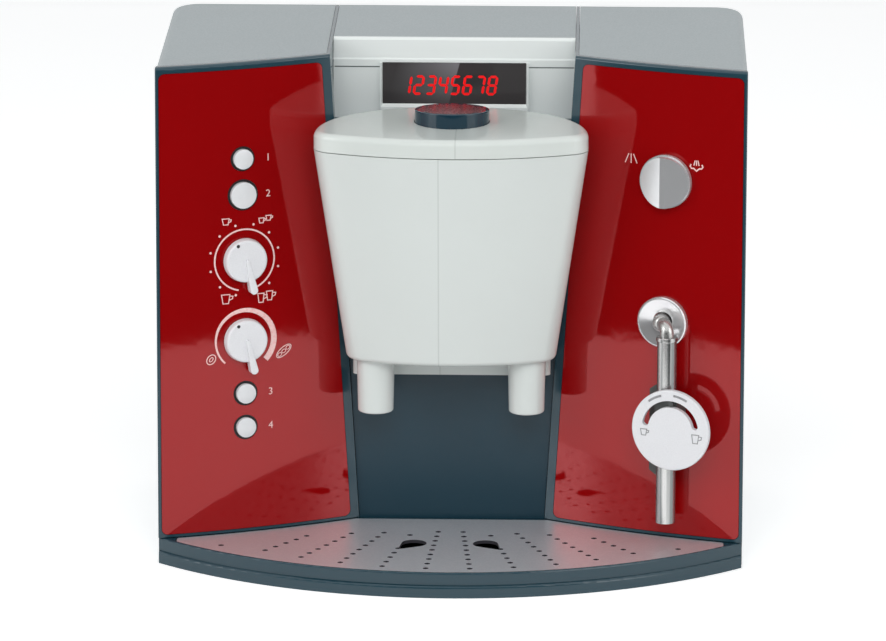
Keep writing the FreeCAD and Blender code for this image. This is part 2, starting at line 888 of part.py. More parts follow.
def bracket(side, middle, low, high, bores, posts):
    """Curved strip behind a wing that the stems and shafts turn in."""
    strip = wing_layer(side, bracket_depth, bracket_depth + bracket_thick, low, high)
    x = side * middle
    half = bracket_half_width
    strip = strip.common(box(x - half, x + half, -tray_nose, body_depth / 2, low, high))
    parts = [strip]
    for x, z in posts:
        post = rod(bracket_post_radius, -bracket_depth - bracket_thick / 2, -frame_thick - seat_gap)
        parts.append(at_station(post, side, x, z))
    holes = [at_station(rod(r + running_gap, -bracket_depth - 3 * bracket_thick, -frame_thick), side, x, z)
             for r, x, z in bores]
    return fused(parts).cut(holes)


def bracket_left():
    bores = [(button_stem_radius, x, z) for _, x, z in button_list()]
    bores += [(knob_shaft_radius, knob_x, z) for z in (knob_1_z, knob_2_z)]
    low = button_4_z - bracket_margin
    high = button_1_z + bracket_margin
    middle = (upper_button_x + lower_button_x) / 2
    posts = [(middle, (knob_1_z + knob_2_z) / 2), (middle, (knob_2_z + button_3_z - bracket_post_shift) / 2),
             (middle, (button_2_z + knob_1_z + bracket_post_shift) / 2)]
    return bracket(LEFT, middle, low, high, bores, posts)


def bracket_right():
    reach = bracket_margin + bracket_post_radius * 2
    bores = [(knob_shaft_radius, steam_x, steam_z)]
    posts = [(steam_x, steam_z + reach), (steam_x, steam_z - reach)]
    low = steam_z - reach - bracket_margin / 2
    high = steam_z + reach + bracket_margin / 2
    return bracket(RIGHT, steam_x, low, high, bores, posts)


# Frother

def frother_boss():
    foot = -seat_gap + seat_gap / 4
    body = turned([(boss_eye_radius + fit_gap, foot), (boss_radius, foot),
                   (boss_radius, boss_rise - boss_rim / 2),
                   (boss_radius - boss_rim / 2, boss_rise), (boss_radius - boss_rim, boss_rise),
                   (boss_eye_radius + fit_gap, boss_rise - boss_dish)])
    return at_station(body, RIGHT, boss_x, boss_z)


def tube_direction():
    length = math.hypot(tube_side, tube_reach - ball_rise)
    return Vector(tube_side / length, 0, (tube_reach - ball_rise) / length), length


def frother_elbow():
    """Ball in the boss, short arm, and the bend that turns down into the tube."""
    heading, length = tube_direction()
    centre = Vector(0, 0, ball_rise)
    ball = Part.makeSphere(ball_radius, centre)
    run = length - tube_bend
    arm = Part.makeCylinder(peg_radius, run, centre, heading)
    ring = Part.Wire(Part.makeCircle(peg_radius, centre + heading * run, heading))
    pivot = centre + heading * run + Vector(0, -tube_bend, 0)
    axis = heading.cross(Vector(0, -1, 0))
    bend = Part.Face(ring).revolve(pivot, axis, 90)
    tube_start = Vector(tube_side, -tube_bend, tube_reach)
    plug = Part.makeCylinder(peg_radius, tube_plug, tube_start, Vector(0, -1, 0))
    stem = rod(knob_shaft_radius, -bracket_depth + skin, ball_rise)
    washer = rod(boss_eye_radius + skin, -frame_thick - fit_gap - clip_thick, -frame_thick - fit_gap)
    return at_station(fused([ball, arm, bend, plug, stem, washer]), RIGHT, boss_x, boss_z)


def frother_tube():
    top = -tube_bend - seat_gap
    start = Vector(tube_side, top, tube_reach)
    down = Vector(0, -1, 0)
    body = Part.makeCylinder(tube_radius, tube_length, start, down)
    collar = Part.makeCylinder(tube_radius + tube_collar, tube_collar_height, start, down)
    collar = collar.makeFillet(tube_collar, [e for e in collar.Edges if e.Curve.TypeId == "Part::GeomCircle"])
    bore = Part.makeCylinder(tube_bore, tube_length, start, down)
    return at_station(fused([body, collar]).cut(bore), RIGHT, boss_x, boss_z)


def frother_guide():
    """Grey carrier behind the tube, with the dial's axle and the stop pin for its slot."""
    left = [(tube_side - guide_side, -guide_top - guide_slope), (tube_side, -guide_top),
            (tube_side, -guide_foot), (tube_side - guide_side, -guide_foot + guide_slope)]
    blade = prism([Vector(x, y, guide_back) for x, y in left], Vector(0, 0, tube_reach - guide_back))
    front = dial_back()
    face = front - dial_gap
    block = box(tube_side - guide_block_side / 2, tube_side + guide_block_side,
                -dial_drop - guide_block_half_height, -dial_drop + guide_block_half_height, guide_back, face)
    block = block.makeFillet(guide_cover, edges_along(block, Vector(0, 0, 1)))
    axle = rod(dial_axle_radius, face - guide_cover / 2, front + dial_thick / 2, dial_side, -dial_drop)
    turn = math.radians((dial_slot_start + dial_slot_end) / 2)
    pin_x = dial_side + dial_slot_radius * math.cos(turn)
    pin_y = -dial_drop + dial_slot_radius * math.sin(turn)
    pin = rod(stop_pin_radius, face - guide_cover / 2, front + dial_thick - stop_pin_sink, pin_x, pin_y)
    sleeve = Part.makeCylinder(tube_radius + running_gap, tube_length + 2 * tube_bend,
                               Vector(tube_side, 0, tube_reach), Vector(0, -1, 0))
    return at_station(fused([blade, block, axle, pin]).cut(sleeve), RIGHT, boss_x, boss_z)


def dial_back():
    return tube_reach + tube_radius + guide_cover + dial_gap


def ring_sector(radius, width, start, end, foot, top):
    """Curved slot with round ends, about the local Z axis."""
    outer = rod(radius + width / 2, foot, top).cut(rod(radius - width / 2, foot, top))
    span = end - start
    reach = 3 * radius
    a = math.radians(start)
    b = math.radians(start + span / 2)
    c = math.radians(end)
    fan = [Vector(0, 0, foot)] + [Vector(reach * math.cos(t), reach * math.sin(t), foot) for t in (a, b, c)]
    piece = outer.common(prism(fan, Vector(0, 0, top - foot)))
    ends = [rod(width / 2, foot, top, radius * math.cos(t), radius * math.sin(t)) for t in (a, c)]
    return fused([piece] + ends)


def froth_dial():
    back = 0.0
    top = dial_thick
    disc = rod(dial_radius, back, top)
    disc = disc.makeFillet(dial_edge_round, edges_at_height(disc, top))
    slot = ring_sector(dial_slot_radius, dial_slot_width, dial_slot_start, dial_slot_end,
                       back - cut_margin, top + cut_margin)
    middle = (dial_slot_start + dial_slot_end) / 2 + dial_turn
    groove_foot = top - dial_groove_depth
    grooves = [ring_sector(dial_groove_radius, dial_groove_width, a, b, groove_foot, top + cut_margin)
               for a, b in ((middle + dial_groove_near, middle + dial_groove_far),
                            (middle - dial_groove_far, middle - dial_groove_near))]
    axle = rod(dial_axle_radius + running_gap, back - cut_margin, top / 2 + seat_gap)
    disc = disc.cut([slot, axle] + grooves)
    disc.translate(Vector(dial_side, -dial_drop, dial_back()))
    return at_station(disc, RIGHT, boss_x, boss_z)


# Drip tray and plate

def tray_arc(inset, half):
    """Front arc of the tray and the places where it meets a given half width."""
    reach = half_width - seam_gap
    radius = (reach ** 2 + tray_nose ** 2) / (2 * tray_nose)
    centre = radius - tray_nose
    r = radius - inset
    y = centre - math.sqrt(r ** 2 - half ** 2)
    return Part.Arc(Vector(-half, y, 0), Vector(0, centre - r, 0), Vector(half, y, 0)).toShape(), y


def tray_prism(step_in, foot, top, back):
    half = half_width - seam_gap
    drawer = inner_width - slide_gap
    arc, y = tray_arc(step_in, half)
    corners = [Vector(half, y, 0), Vector(half, tray_shoulder, 0), Vector(drawer, tray_shoulder, 0),
               Vector(drawer, back, 0)]
    other = [Vector(-p.x, p.y, 0) for p in reversed(corners)]
    path = corners + other
    edges = [arc] + [Part.LineSegment(a, b).toShape() for a, b in zip(path, path[1:])]
    body = Part.Face(Part.Wire(edges)).extrude(Vector(0, 0, top - foot))
    body.translate(Vector(0, 0, foot))
    return body


def plate_prism(grow, foot, top):
    """Outline of the drip plate, kept clear of the wings and the recess."""
    half = plate_end + grow
    arc, y = tray_arc(plate_inset - grow, half)
    back = plate_back + grow
    path = [Vector(half, y, 0), Vector(half, back, 0), Vector(-half, back, 0), Vector(-half, y, 0)]
    edges = [arc] + [Part.LineSegment(a, b).toShape() for a, b in zip(path, path[1:])]
    body = Part.Face(Part.Wire(edges)).extrude(Vector(0, 0, top - foot))
    body.translate(Vector(0, 0, foot))
    column = wing_column(RIGHT, grow - plate_wing_gap, foot, top)
    column = column.common(box(0, half_width + grow, -tray_nose, body_depth, foot, top))
    for side, _ in SIDES:
        body = body.cut(on_side(column, side))
    ends = [e for e in edges_along(body, up) if abs(abs(e.CenterOfMass.x) - half) < 1e-3]
    room = max(e.CenterOfMass.y for e in ends) - min(e.CenterOfMass.y for e in ends)
    return body.makeFillet(min(plate_end_round, room - plate_end_straight), ends)


def drip_tray():
    back = recess_depth - fit_gap
    low = tray_prism(0, 0, tray_step_height, back)
    band = [e for e in edges_at_height(low, tray_step_height) if e.Curve.TypeId == "Part::GeomCircle"]
    low = low.makeFillet(tray_band_round, band)
    high = tray_prism(tray_step, tray_step_height, tray_height, back)
    body = fused([low, high])
    rim = [e for e in edges_at_height(body, tray_height) if e.Curve.TypeId == "Part::GeomCircle"]
    body = body.makeFillet(tray_rim_round, rim)
    seat_foot = tray_height - plate_thick - seat_gap / 2
    seat = plate_prism(fit_gap, seat_foot, tray_height + cut_margin)
    basin = plate_prism(-plate_ledge, tray_floor, seat_foot + cut_margin)
    reach = inner_width - slide_gap - tray_wall
    inside = box(-reach, reach, tray_shoulder, back - tray_wall, -cut_margin, tray_height - tray_wall)
    pockets = inside.cut(plate_prism(tray_wall, -2 * cut_margin, tray_height))
    return body.cut([seat, basin, pockets])


def drop_hole(side):
    """Drop-shaped hole under a spout, its tip turned outwards to the front."""
    turn = math.radians(drop_tip_turn)
    tip_x = side * drop_tip_length * math.sin(turn)
    tip_y = -drop_tip_length * math.cos(turn)
    lean = math.acos((drop_hole_radius - drop_tip_radius) / drop_tip_length)
    heading = math.atan2(tip_y, tip_x)
    parts = []
    corners = []
    centre = side * drop_hole_x
    for r, x, y in ((drop_hole_radius, centre, drop_hole_y),
                    (drop_tip_radius, centre + tip_x, drop_hole_y + tip_y)):
        parts.append(rod(r, 0, tray_height + cut_margin, x, y))
        for a in (heading + lean, heading - lean):
            corners.append(Vector(x + r * math.cos(a), y + r * math.sin(a), 0))
    web = prism([corners[0], corners[1], corners[3], corners[2]], Vector(0, 0, tray_height + cut_margin))
    return fused(parts + [web])


def dot(x, y):
    """Small drain hole with a few flat sides."""
    turns = [2 * math.pi * (corner + 0.5) / dot_corners for corner in range(dot_corners)]
    ring = [Vector(x + dot_radius * math.cos(a), y + dot_radius * math.sin(a), 0) for a in turns]
    return prism(ring, Vector(0, 0, tray_height + cut_margin))


def dots():
    """Rows of small drain holes that fan out from a point behind the recess."""
    made = []
    arc, _ = tray_arc(plate_inset + dot_margin, plate_end - dot_margin)
    radius = arc.Curve.Radius
    centre_y = arc.Curve.Center.y
    axis = wing_axis(RIGHT)
    rays = int(plate_end / dot_pitch)
    for ray in range(rays):
        angle = math.radians(dot_fan_step * (ray + 0.5))
        if angle > math.pi / 3:
            break
        for step in range(rays):
            r = dot_first + dot_pitch * step
            x = r * math.sin(angle)
            y = dot_fan_y - r * math.cos(angle)
            inside = math.hypot(x, y - centre_y) < radius and x < plate_end - dot_margin
            clear = math.hypot(x - axis.x, y - axis.y) > wing_radius + dot_wing_gap and y < dot_back_limit
            free = math.hypot(x - drop_hole_x, y - drop_hole_y) > drop_hole_radius + dot_drop_gap
            if inside and clear and free:
                for side in (LEFT, RIGHT):
                    made.append(dot(side * x, y))
    return made


def drip_plate():
    plate = plate_prism(0, tray_height - plate_thick, tray_height)
    return plate.cut([drop_hole(LEFT), drop_hole(RIGHT)] + dots())


# All pieces

def pieces():
    made = {}
    posts = screw_posts()
    for side, word in SIDES:
        made["wing_frame_" + word] = wing_frame(side)
        made["wing_panel_" + word] = wing_panel(side)
        made["side_shell_" + word] = side_shell(side)
        made["recess_cheek_" + word] = recess_cheek(side)
        made["spout_" + word] = spout(side)
    made["screw_posts_left"] = Part.makeCompound(posts[:2])
    made["screw_posts_right"] = Part.makeCompound(posts[2:])
    made["top_cover"] = top_cover()
    made["back_cover"] = back_cover()
    made["back_screws"] = screws()
    made["base_plate"] = base_plate()
    made["recess_panel"] = recess_panel()
    made["recess_deck"] = recess_deck()
    made["header_panel"] = header_panel()
    made["header_cap"] = header_cap()
    made["display_window"] = display_window()
    made["display_bezel"] = display_bezel()
    made["brew_head"] = bowl()
    made["head_underplate"] = underplate()
    made["lid"] = lid()
    made["start_button"] = start_button()
    made["start_label"] = start_label()
    made["start_spring"] = start_spring()
    made["pump_barrel"] = pump_barrel()
    for number, (radius, x, z) in enumerate(button_list(), 1):
        made["button_%d" % number] = side_button(radius, x, z)
    made["knob_upper"] = knob(knob_1_z)
    made["knob_lower"] = knob(knob_2_z)
    made["steam_knob"] = steam_knob()
    clips = knob_clips()
    made["knob_upper_clip"] = clips[0]
    made["knob_lower_clip"] = clips[1]
    made["steam_knob_clip"] = clips[2]
    made["bracket_left"] = bracket_left()
    made["bracket_right"] = bracket_right()
    made["frother_boss"] = frother_boss()
    made["frother_elbow"] = frother_elbow()
    made["frother_tube"] = frother_tube()
    made["frother_guide"] = frother_guide()
    made["froth_dial"] = froth_dial()
    made["drip_tray"] = drip_tray()
    made["drip_plate"] = drip_plate()
    return made


os.makedirs("parts", exist_ok=True)
for name, shape in pieces().items():
    moved = shape.copy()
    moved.translate(Vector(0, origin_shift, 0))
    moved.exportStep("parts/%s.step" % name)
    print(name, len(moved.Solids), round(moved.Volume, 1), moved.isValid())
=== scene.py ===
"""Looks of a toy coffee maker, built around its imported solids."""

import logging
import math
from dataclasses import dataclass
from enum import Enum

import bmesh
import bpy
from mathutils import Matrix, Vector


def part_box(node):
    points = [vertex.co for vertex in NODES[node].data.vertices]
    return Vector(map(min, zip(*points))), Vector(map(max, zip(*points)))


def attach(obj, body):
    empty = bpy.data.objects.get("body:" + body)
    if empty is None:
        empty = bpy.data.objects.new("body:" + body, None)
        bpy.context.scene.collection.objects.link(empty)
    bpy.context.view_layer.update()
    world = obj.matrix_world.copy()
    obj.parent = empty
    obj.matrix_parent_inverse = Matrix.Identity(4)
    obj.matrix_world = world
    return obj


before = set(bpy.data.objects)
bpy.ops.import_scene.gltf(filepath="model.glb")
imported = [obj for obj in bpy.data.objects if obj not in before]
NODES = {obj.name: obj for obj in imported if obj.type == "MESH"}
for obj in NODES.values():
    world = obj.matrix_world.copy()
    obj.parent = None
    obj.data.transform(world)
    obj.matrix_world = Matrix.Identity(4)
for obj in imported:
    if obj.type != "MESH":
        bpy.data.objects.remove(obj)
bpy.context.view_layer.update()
MM = 0.001
WHITE = (1.0, 1.0, 1.0, 1.0)
LOG = logging.getLogger("coffee_maker")

# Places in the shared frame, in metres
FRONT_CORNER_Y = -49.5 * MM

# Controls on the wings in millimetres: distance from the toy's middle, height, and a button's radius
BUTTONS = ((99.2, 196.1, 4.8), (99.2, 178.5, 6.35), (98.4, 80.9, 4.8), (98.4, 64.1, 4.8))
KNOB_ACROSS = 98.6
UPPER_KNOB_Z = 146.7
LOWER_KNOB_Z = 107.3
STEAM_KNOB = (102.3, 187.3)
FROTHER_BOSS = (101.4, 118.3)


class Side(Enum):
    """The two wings, seen from the front."""

    LEFT = -1
    RIGHT = 1


# Colour and shader helpers


def linear(hex_colour: str) -> tuple[float, float, float, float]:
    """Turns an sRGB hex colour to linear.

    Args:
        hex_colour: Six hex digits after a hash sign.

    Returns:
        Red, green, blue and an alpha of one, linear.
    """
    parts = [int(hex_colour[i:i + 2], 16) / 255 for i in (1, 3, 5)]
    red, green, blue = (c / 12.92 if c <= 0.04045 else ((c + 0.055) / 1.055) ** 2.4 for c in parts)
    return red, green, blue, 1.0


def add(tree: bpy.types.NodeTree, kind: str, settings: dict | None = None,
        links: dict | None = None) -> bpy.types.Node:
    """Adds one shader node with its settings and links.

    Args:
        tree: Node tree that gets the node.
        kind: The node's type.
        settings: Values by property name, which come first, or by input name or number.
        links: Output sockets by input name or number.

    Returns:
        The new node.
    """
    node = tree.nodes.new(kind)
    for key, value in (settings or {}).items():
        if isinstance(key, str) and hasattr(node, key):
            setattr(node, key, value)
        else:
            node.inputs[key].default_value = value
    for key, socket in (links or {}).items():
        tree.links.new(socket, node.inputs[key])
    return node


def new_material(name: str) -> tuple[bpy.types.Material, bpy.types.NodeTree]:
    """Makes an empty material with nodes.

    Args:
        name: Name of the material.

    Returns:
        The material and its node tree.
    """
    material = bpy.data.materials.new(name)
    material.use_nodes = True
    material.node_tree.nodes.clear()
    return material, material.node_tree


def noise(tree: bpy.types.NodeTree, place: bpy.types.NodeSocket, size_mm: float,
          detail: float) -> bpy.types.NodeSocket:
    """Adds a noise.

    Args:
        tree: Node tree of the material.
        place: Coordinates in metres.
        size_mm: Distance between its features.
        detail: How many finer layers it has.

    Returns:
        Its value.
    """
    return add(tree, "ShaderNodeTexNoise", {"Scale": 1.0 / (size_mm * MM), "Detail": detail},
               {"Vector": place}).outputs["Fac"]


def remap(tree: bpy.types.NodeTree, value: bpy.types.NodeSocket, source: tuple[float, float],
          target: tuple[float, float] = (0.0, 1.0)) -> bpy.types.NodeSocket:
    """Maps one range of values to another, and clamps it.

    Args:
        tree: Node tree of the material.
        value: Value that is mapped.
        source: Its range.
        target: The new range.

    Returns:
        The new value.
    """
    limits = {"From Min": source[0], "From Max": source[1], "To Min": target[0], "To Max": target[1]}
    return add(tree, "ShaderNodeMapRange", limits, {"Value": value}).outputs[0]


def bump(tree: bpy.types.NodeTree, height: bpy.types.NodeSocket, distance_mm: float,
         under: bpy.types.NodeSocket | None = None, strength: float = 1.0) -> bpy.types.NodeSocket:
    """Bends the normal by a height.

    Args:
        tree: Node tree of the material.
        height: Value that gives the height.
        distance_mm: Height that a value of one stands for.
        under: Normal that is bent, if it isn't the surface's own.
        strength: Share of the bend that is kept.

    Returns:
        The bent normal.
    """
    links = {"Height": height} if under is None else {"Height": height, "Normal": under}
    return add(tree, "ShaderNodeBump", {"Strength": strength, "Distance": distance_mm * MM}, links).outputs[0]


def math_node(tree: bpy.types.NodeTree, operation: str, first: bpy.types.NodeSocket,
              second: bpy.types.NodeSocket | float | None = None) -> bpy.types.NodeSocket:
    """Adds one sum of one or two values.

    Args:
        tree: Node tree of the material.
        operation: The sum.
        first: First value.
        second: Second value, as a socket or a number.

    Returns:
        The result.
    """
    settings, links = {"operation": operation}, {0: first}
    if isinstance(second, bpy.types.NodeSocket):
        links[1] = second
    elif second is not None:
        settings[1] = second
    return add(tree, "ShaderNodeMath", settings, links).outputs[0]


def blend(tree: bpy.types.NodeTree, share: bpy.types.NodeSocket, low: tuple | bpy.types.NodeSocket,
          high: tuple | bpy.types.NodeSocket) -> bpy.types.NodeSocket:
    """Mixes two colours.

    Args:
        tree: Node tree of the material.
        share: Share of the second colour.
        low: First colour, linear or a socket.
        high: Second colour, linear or a socket.

    Returns:
        The mixed colour.
    """
    settings, links = {"data_type": "RGBA"}, {0: share}
    for key, colour in ((6, low), (7, high)):
        (links if isinstance(colour, bpy.types.NodeSocket) else settings)[key] = colour
    return add(tree, "ShaderNodeMix", settings, links).outputs[2]


def surface(tree: bpy.types.NodeTree, settings: dict, links: dict | None = None) -> None:
    """Ends a material in its surface shader.

    Args:
        tree: Node tree of the material.
        settings: Values by input name.
        links: Output sockets by input name.
    """
    shader = add(tree, "ShaderNodeBsdfPrincipled", settings, links).outputs[0]
    add(tree, "ShaderNodeOutputMaterial", None, {"Surface": shader})


def seen_rays(tree: bpy.types.NodeTree, through: bool = False) -> bpy.types.NodeSocket:
    """Picks the rays that come straight from the eye or off gloss.

    Args:
        tree: Node tree of the floor or the world.
        through: Whether rays that pass through clear material count too.

    Returns:
        One for such a ray, and zero for any other.
    """
    path = add(tree, "ShaderNodeLightPath").outputs
    seen = math_node(tree, "MAXIMUM", path["Is Camera Ray"], path["Is Glossy Ray"])
    return math_node(tree, "MAXIMUM", seen, path["Is Transmission Ray"]) if through else seen


# Finishes


@dataclass(frozen=True)
class MouldedPlastic:
    """Injection-moulded ABS or similar.

    The steel mould leaves a slow ripple that bends reflections, a fine grain that breaks up
    highlights, and the pigment drifts a little in tone where the melt has flowed.
    """

    name: str
    colour: str
    roughness: float
    ripple_mm: float = 9.0
    ripple_height_mm: float = 0.02
    grain_mm: float = 0.8
    grain_height_mm: float = 0.002
    grain_range: tuple[float, float] = (0.35, 0.65)
    rough_shares: tuple[float, float] = (0.85, 1.2)
    drift: float = 0.04
    drift_mm: float = 45.0
    metallic: float = 0.0
    ior: float = 1.54
    seam_x_mm: float | None = None
    seam_half_mm: float = 0.15
    seam_height_mm: float = 0.05
    seam_bend: float = 0.6
    seam_share: float = 0.25
    seam_colour: str = "#8E9692"

    def material(self) -> bpy.types.Material:
        """Builds the material.

        Returns:
            The finished material.
        """
        material, tree = new_material(self.name)
        place = add(tree, "ShaderNodeTexCoord").outputs["Object"]
        slow = noise(tree, place, self.drift_mm, 3.0)
        ripple = noise(tree, place, self.ripple_mm, 1.0)
        grain = noise(tree, place, self.grain_mm, 2.0)
        base = linear(self.colour)
        light = tuple(min(1.0, c * (1 + self.drift)) for c in base[:3]) + (1.0,)
        dark = tuple(c * (1 - self.drift) for c in base[:3]) + (1.0,)
        tone = blend(tree, slow, dark, light)
        rough = remap(tree, grain, self.grain_range, tuple(self.roughness * s for s in self.rough_shares))
        normal = bump(tree, ripple, self.ripple_height_mm)
        normal = bump(tree, grain, self.grain_height_mm, normal)
        if self.seam_x_mm is not None:
            tone, normal = self.seam(tree, place, tone, normal)
        surface(tree, {"IOR": self.ior, "Metallic": self.metallic},
                {"Base Color": tone, "Roughness": rough, "Normal": normal})
        return material

    def seam(self, tree: bpy.types.NodeTree, place: bpy.types.NodeSocket, tone: bpy.types.NodeSocket,
             normal: bpy.types.NodeSocket) -> tuple[bpy.types.NodeSocket, bpy.types.NodeSocket]:
        """Adds the faint upright line where two halves of the mould met.

        Args:
            tree: Node tree of the material.
            place: Object coordinates.
            tone: Colour so far.
            normal: Normal so far.

        Returns:
            Colour and normal with the line.
        """
        across = add(tree, "ShaderNodeSeparateXYZ", None, {0: place}).outputs["X"]
        away = math_node(tree, "ABSOLUTE", math_node(tree, "SUBTRACT", across, self.seam_x_mm * MM))
        line = remap(tree, away, (self.seam_half_mm * MM, self.seam_half_mm * 3 * MM), (1.0, 0.0))
        share = math_node(tree, "MULTIPLY", line, self.seam_share)
        return (blend(tree, share, tone, linear(self.seam_colour)),
                bump(tree, line, self.seam_height_mm, normal, self.seam_bend))


@dataclass(frozen=True)
class BarePlating:
    """Polished or brushed metal: chrome plate on the tube, zinc on the screws and clips."""

    name: str
    colour: str
    roughness: float
    band_colour: str | None = None
    band_mm: float = 2.6
    band_stretch: float = 0.004
    band_range: tuple[float, float] = (0.42, 0.60)
    metallic: float = 1.0
    streak_mm: float = 0.5
    streak_length_mm: float = 25.0
    streak_height_mm: float = 0.001
    streak_range: tuple[float, float] = (0.3, 0.7)
    rough_shares: tuple[float, float] = (0.7, 1.4)

    def material(self) -> bpy.types.Material:
        """Builds the material.

        Returns:
            The finished material.
        """
        material, tree = new_material(self.name)
        place = add(tree, "ShaderNodeTexCoord").outputs["Object"]
        stretch = self.streak_mm / self.streak_length_mm
        streak = noise(tree, self.stretched(tree, place, stretch), self.streak_mm, 2.0)
        rough = remap(tree, streak, self.streak_range, tuple(self.roughness * s for s in self.rough_shares))
        normal = bump(tree, streak, self.streak_height_mm)
        surface(tree, {"Metallic": self.metallic},
                {"Base Color": self.tone(tree, place), "Roughness": rough, "Normal": normal})
        return material

    def tone(self, tree: bpy.types.NodeTree, place: bpy.types.NodeSocket) -> bpy.types.NodeSocket:
        """Mixes in lengthwise dark bands along a tube, a painted reflection of its surroundings.

        Args:
            tree: Node tree of the material.
            place: Object coordinates.

        Returns:
            The metal's tone.
        """
        # Painted reflection: dark bands that run along the tube.
        band = noise(tree, self.stretched(tree, place, self.band_stretch), self.band_mm, 1.0)
        share = remap(tree, band, self.band_range)
        return blend(tree, share, linear(self.band_colour or self.colour), linear(self.colour))

    @staticmethod
    def stretched(tree: bpy.types.NodeTree, place: bpy.types.NodeSocket,
                  scale: float) -> bpy.types.NodeSocket:
        """Scales coordinates along Z, so that what is drawn on them runs lengthwise.

        Args:
            tree: Node tree of the material.
            place: Object coordinates.
            scale: Scale along Z.

        Returns:
            The new coordinates.
        """
        return add(tree, "ShaderNodeMapping", {"Scale": (1.0, 1.0, scale)}, {"Vector": place}).outputs[0]


@dataclass(frozen=True)
class MetallicPaint:
    """Silver lacquer with fine flakes on faces that point up; faces that point sideways or down, such as the
    walls of holes, are dark.
    """

    name: str
    colour: str
    flake_colour: str
    bare_colour: str
    roughness: float
    flake_mm: float = 0.7
    flake_height_mm: float = 0.006
    spark_range: tuple[float, float] = (0.2, 1.0)
    spark_shares: tuple[float, float] = (0.0, 0.6)
    spray_range: tuple[float, float] = (0.3, 0.8)
    rough_shares: tuple[float, float] = (0.85, 1.15)
    metallic: float = 0.6
    ior: float = 1.5

    def material(self) -> bpy.types.Material:
        """Builds the material.

        Returns:
            The finished material.
        """
        material, tree = new_material(self.name)
        place = add(tree, "ShaderNodeTexCoord").outputs["Object"]
        flake = add(tree, "ShaderNodeTexVoronoi", {"Scale": 1.0 / (self.flake_mm * MM)}, {"Vector": place})
        spark = add(tree, "ShaderNodeSeparateColor", None, {0: flake.outputs["Color"]}).outputs[0]
        share = remap(tree, spark, self.spark_range, self.spark_shares)
        lacquer = blend(tree, share, linear(self.colour), linear(self.flake_colour))
        facing = add(tree, "ShaderNodeSeparateXYZ", None,
                     {0: add(tree, "ShaderNodeTexCoord").outputs["Normal"]}).outputs["Z"]
        upward_share = remap(tree, facing, self.spray_range)
        # Faces that don't point up take the dark colour.
        tone = blend(tree, upward_share, linear(self.bare_colour), lacquer)
        metal = math_node(tree, "MULTIPLY", upward_share, self.metallic)
        rough = remap(tree, spark, (0.0, 1.0), tuple(self.roughness * s for s in self.rough_shares))
        normal = bump(tree, spark, self.flake_height_mm)
        surface(tree, {"IOR": self.ior},
                {"Base Color": tone, "Metallic": metal, "Roughness": rough, "Normal": normal})
        return material


@dataclass(frozen=True)
class PrintedInk:
    """Pad-printed ink: thin, slightly uneven, and a little glossy."""

    name: str
    colour: str
    thin_colour: str
    roughness: float = 0.35
    # A glow above zero is painted light: the ink shines though nothing lights it.
    glow: float = 0.0
    blot_mm: float = 1.2
    blot_range: tuple[float, float] = (0.45, 0.75)
    ior: float = 1.5

    def material(self) -> bpy.types.Material:
        """Builds the material.

        Returns:
            The finished material.
        """
        material, tree = new_material(self.name)
        place = add(tree, "ShaderNodeTexCoord").outputs["Object"]
        share = remap(tree, noise(tree, place, self.blot_mm, 2.0), self.blot_range)
        tone = blend(tree, share, linear(self.colour), linear(self.thin_colour))
        surface(tree, {"Roughness": self.roughness, "IOR": self.ior, "Emission Strength": self.glow,
                       "Emission Color": linear(self.colour)}, {"Base Color": tone})
        return material


@dataclass(frozen=True)
class SmokedWindow:
    """Dark printed card behind a clear sheet, with a slanted pale wedge like a light on glass."""

    name: str
    colour: str
    wedge_colour: str
    edge_x_mm: float = -0.1
    slant: float = 0.26
    middle_z_mm: float = 221.6
    fade_mm: float = 30.0
    edge_mm: float = 0.4
    foot_mm: float = -14.0
    head_mm: float = 10.0
    roughness: float = 0.12
    ior: float = 1.5

    def material(self) -> bpy.types.Material:
        """Builds the material.

        Returns:
            The finished material.
        """
        material, tree = new_material(self.name)
        place = add(tree, "ShaderNodeTexCoord").outputs["Object"]
        apart = add(tree, "ShaderNodeSeparateXYZ", None, {0: place})
        rise = math_node(tree, "SUBTRACT", apart.outputs["Z"], self.middle_z_mm * MM)
        edge = math_node(tree, "SUBTRACT", apart.outputs["X"], math_node(tree, "MULTIPLY", rise, self.slant))
        start, end = self.edge_x_mm - self.fade_mm, self.edge_x_mm
        fade = remap(tree, edge, (start * MM, end * MM))
        inside = remap(tree, edge, (end * MM, (end + self.edge_mm) * MM), (1.0, 0.0))
        high = remap(tree, rise, (self.foot_mm * MM, self.head_mm * MM))
        share = math_node(tree, "MULTIPLY", math_node(tree, "MULTIPLY", fade, high), inside)
        tone = blend(tree, share, linear(self.colour), linear(self.wedge_colour))
        surface(tree, {"Roughness": self.roughness, "IOR": self.ior}, {"Base Color": tone})
        return material


RED_PANEL = MouldedPlastic("metallic_red_lacquer", "#A0070B", 0.05, ripple_mm=7.0, ripple_height_mm=0.022,
                           drift=0.03, grain_height_mm=0.0006, metallic=0.18)
PETROL = MouldedPlastic("gloss_petrol_abs", "#21404C", 0.20, grain_height_mm=0.003)
BUTTON_PETROL = MouldedPlastic("polished_petrol_abs", "#173544", 0.08, ripple_mm=5.0, ripple_height_mm=0.02,
                               grain_height_mm=0.0006)
PETROL_BACK = MouldedPlastic("satin_petrol_abs", "#173846", 0.34, grain_height_mm=0.004)
WHITE_HEAD = MouldedPlastic("gloss_white_abs", "#D9DFDC", 0.20, drift=0.025, seam_x_mm=-5.6)
WHITE_LID = MouldedPlastic("gloss_white_lid_abs", "#DAE0DC", 0.17, drift=0.03, seam_x_mm=2.4)
# White plastic raised brighter than the head's to make up for the shade above the lid: partly painted light
# on the header, its cap and the display frame.
WHITE_TRIM_LIGHTENED = MouldedPlastic("gloss_white_trim_abs_painted_light", "#EFF4F2", 0.22, drift=0.03)
GREY_SHELL = MouldedPlastic("satin_grey_abs", "#9BA5A8", 0.38, drift=0.03, grain_height_mm=0.006)
DARK_INNER = MouldedPlastic("black_grey_pp", "#4A4D4C", 0.45)
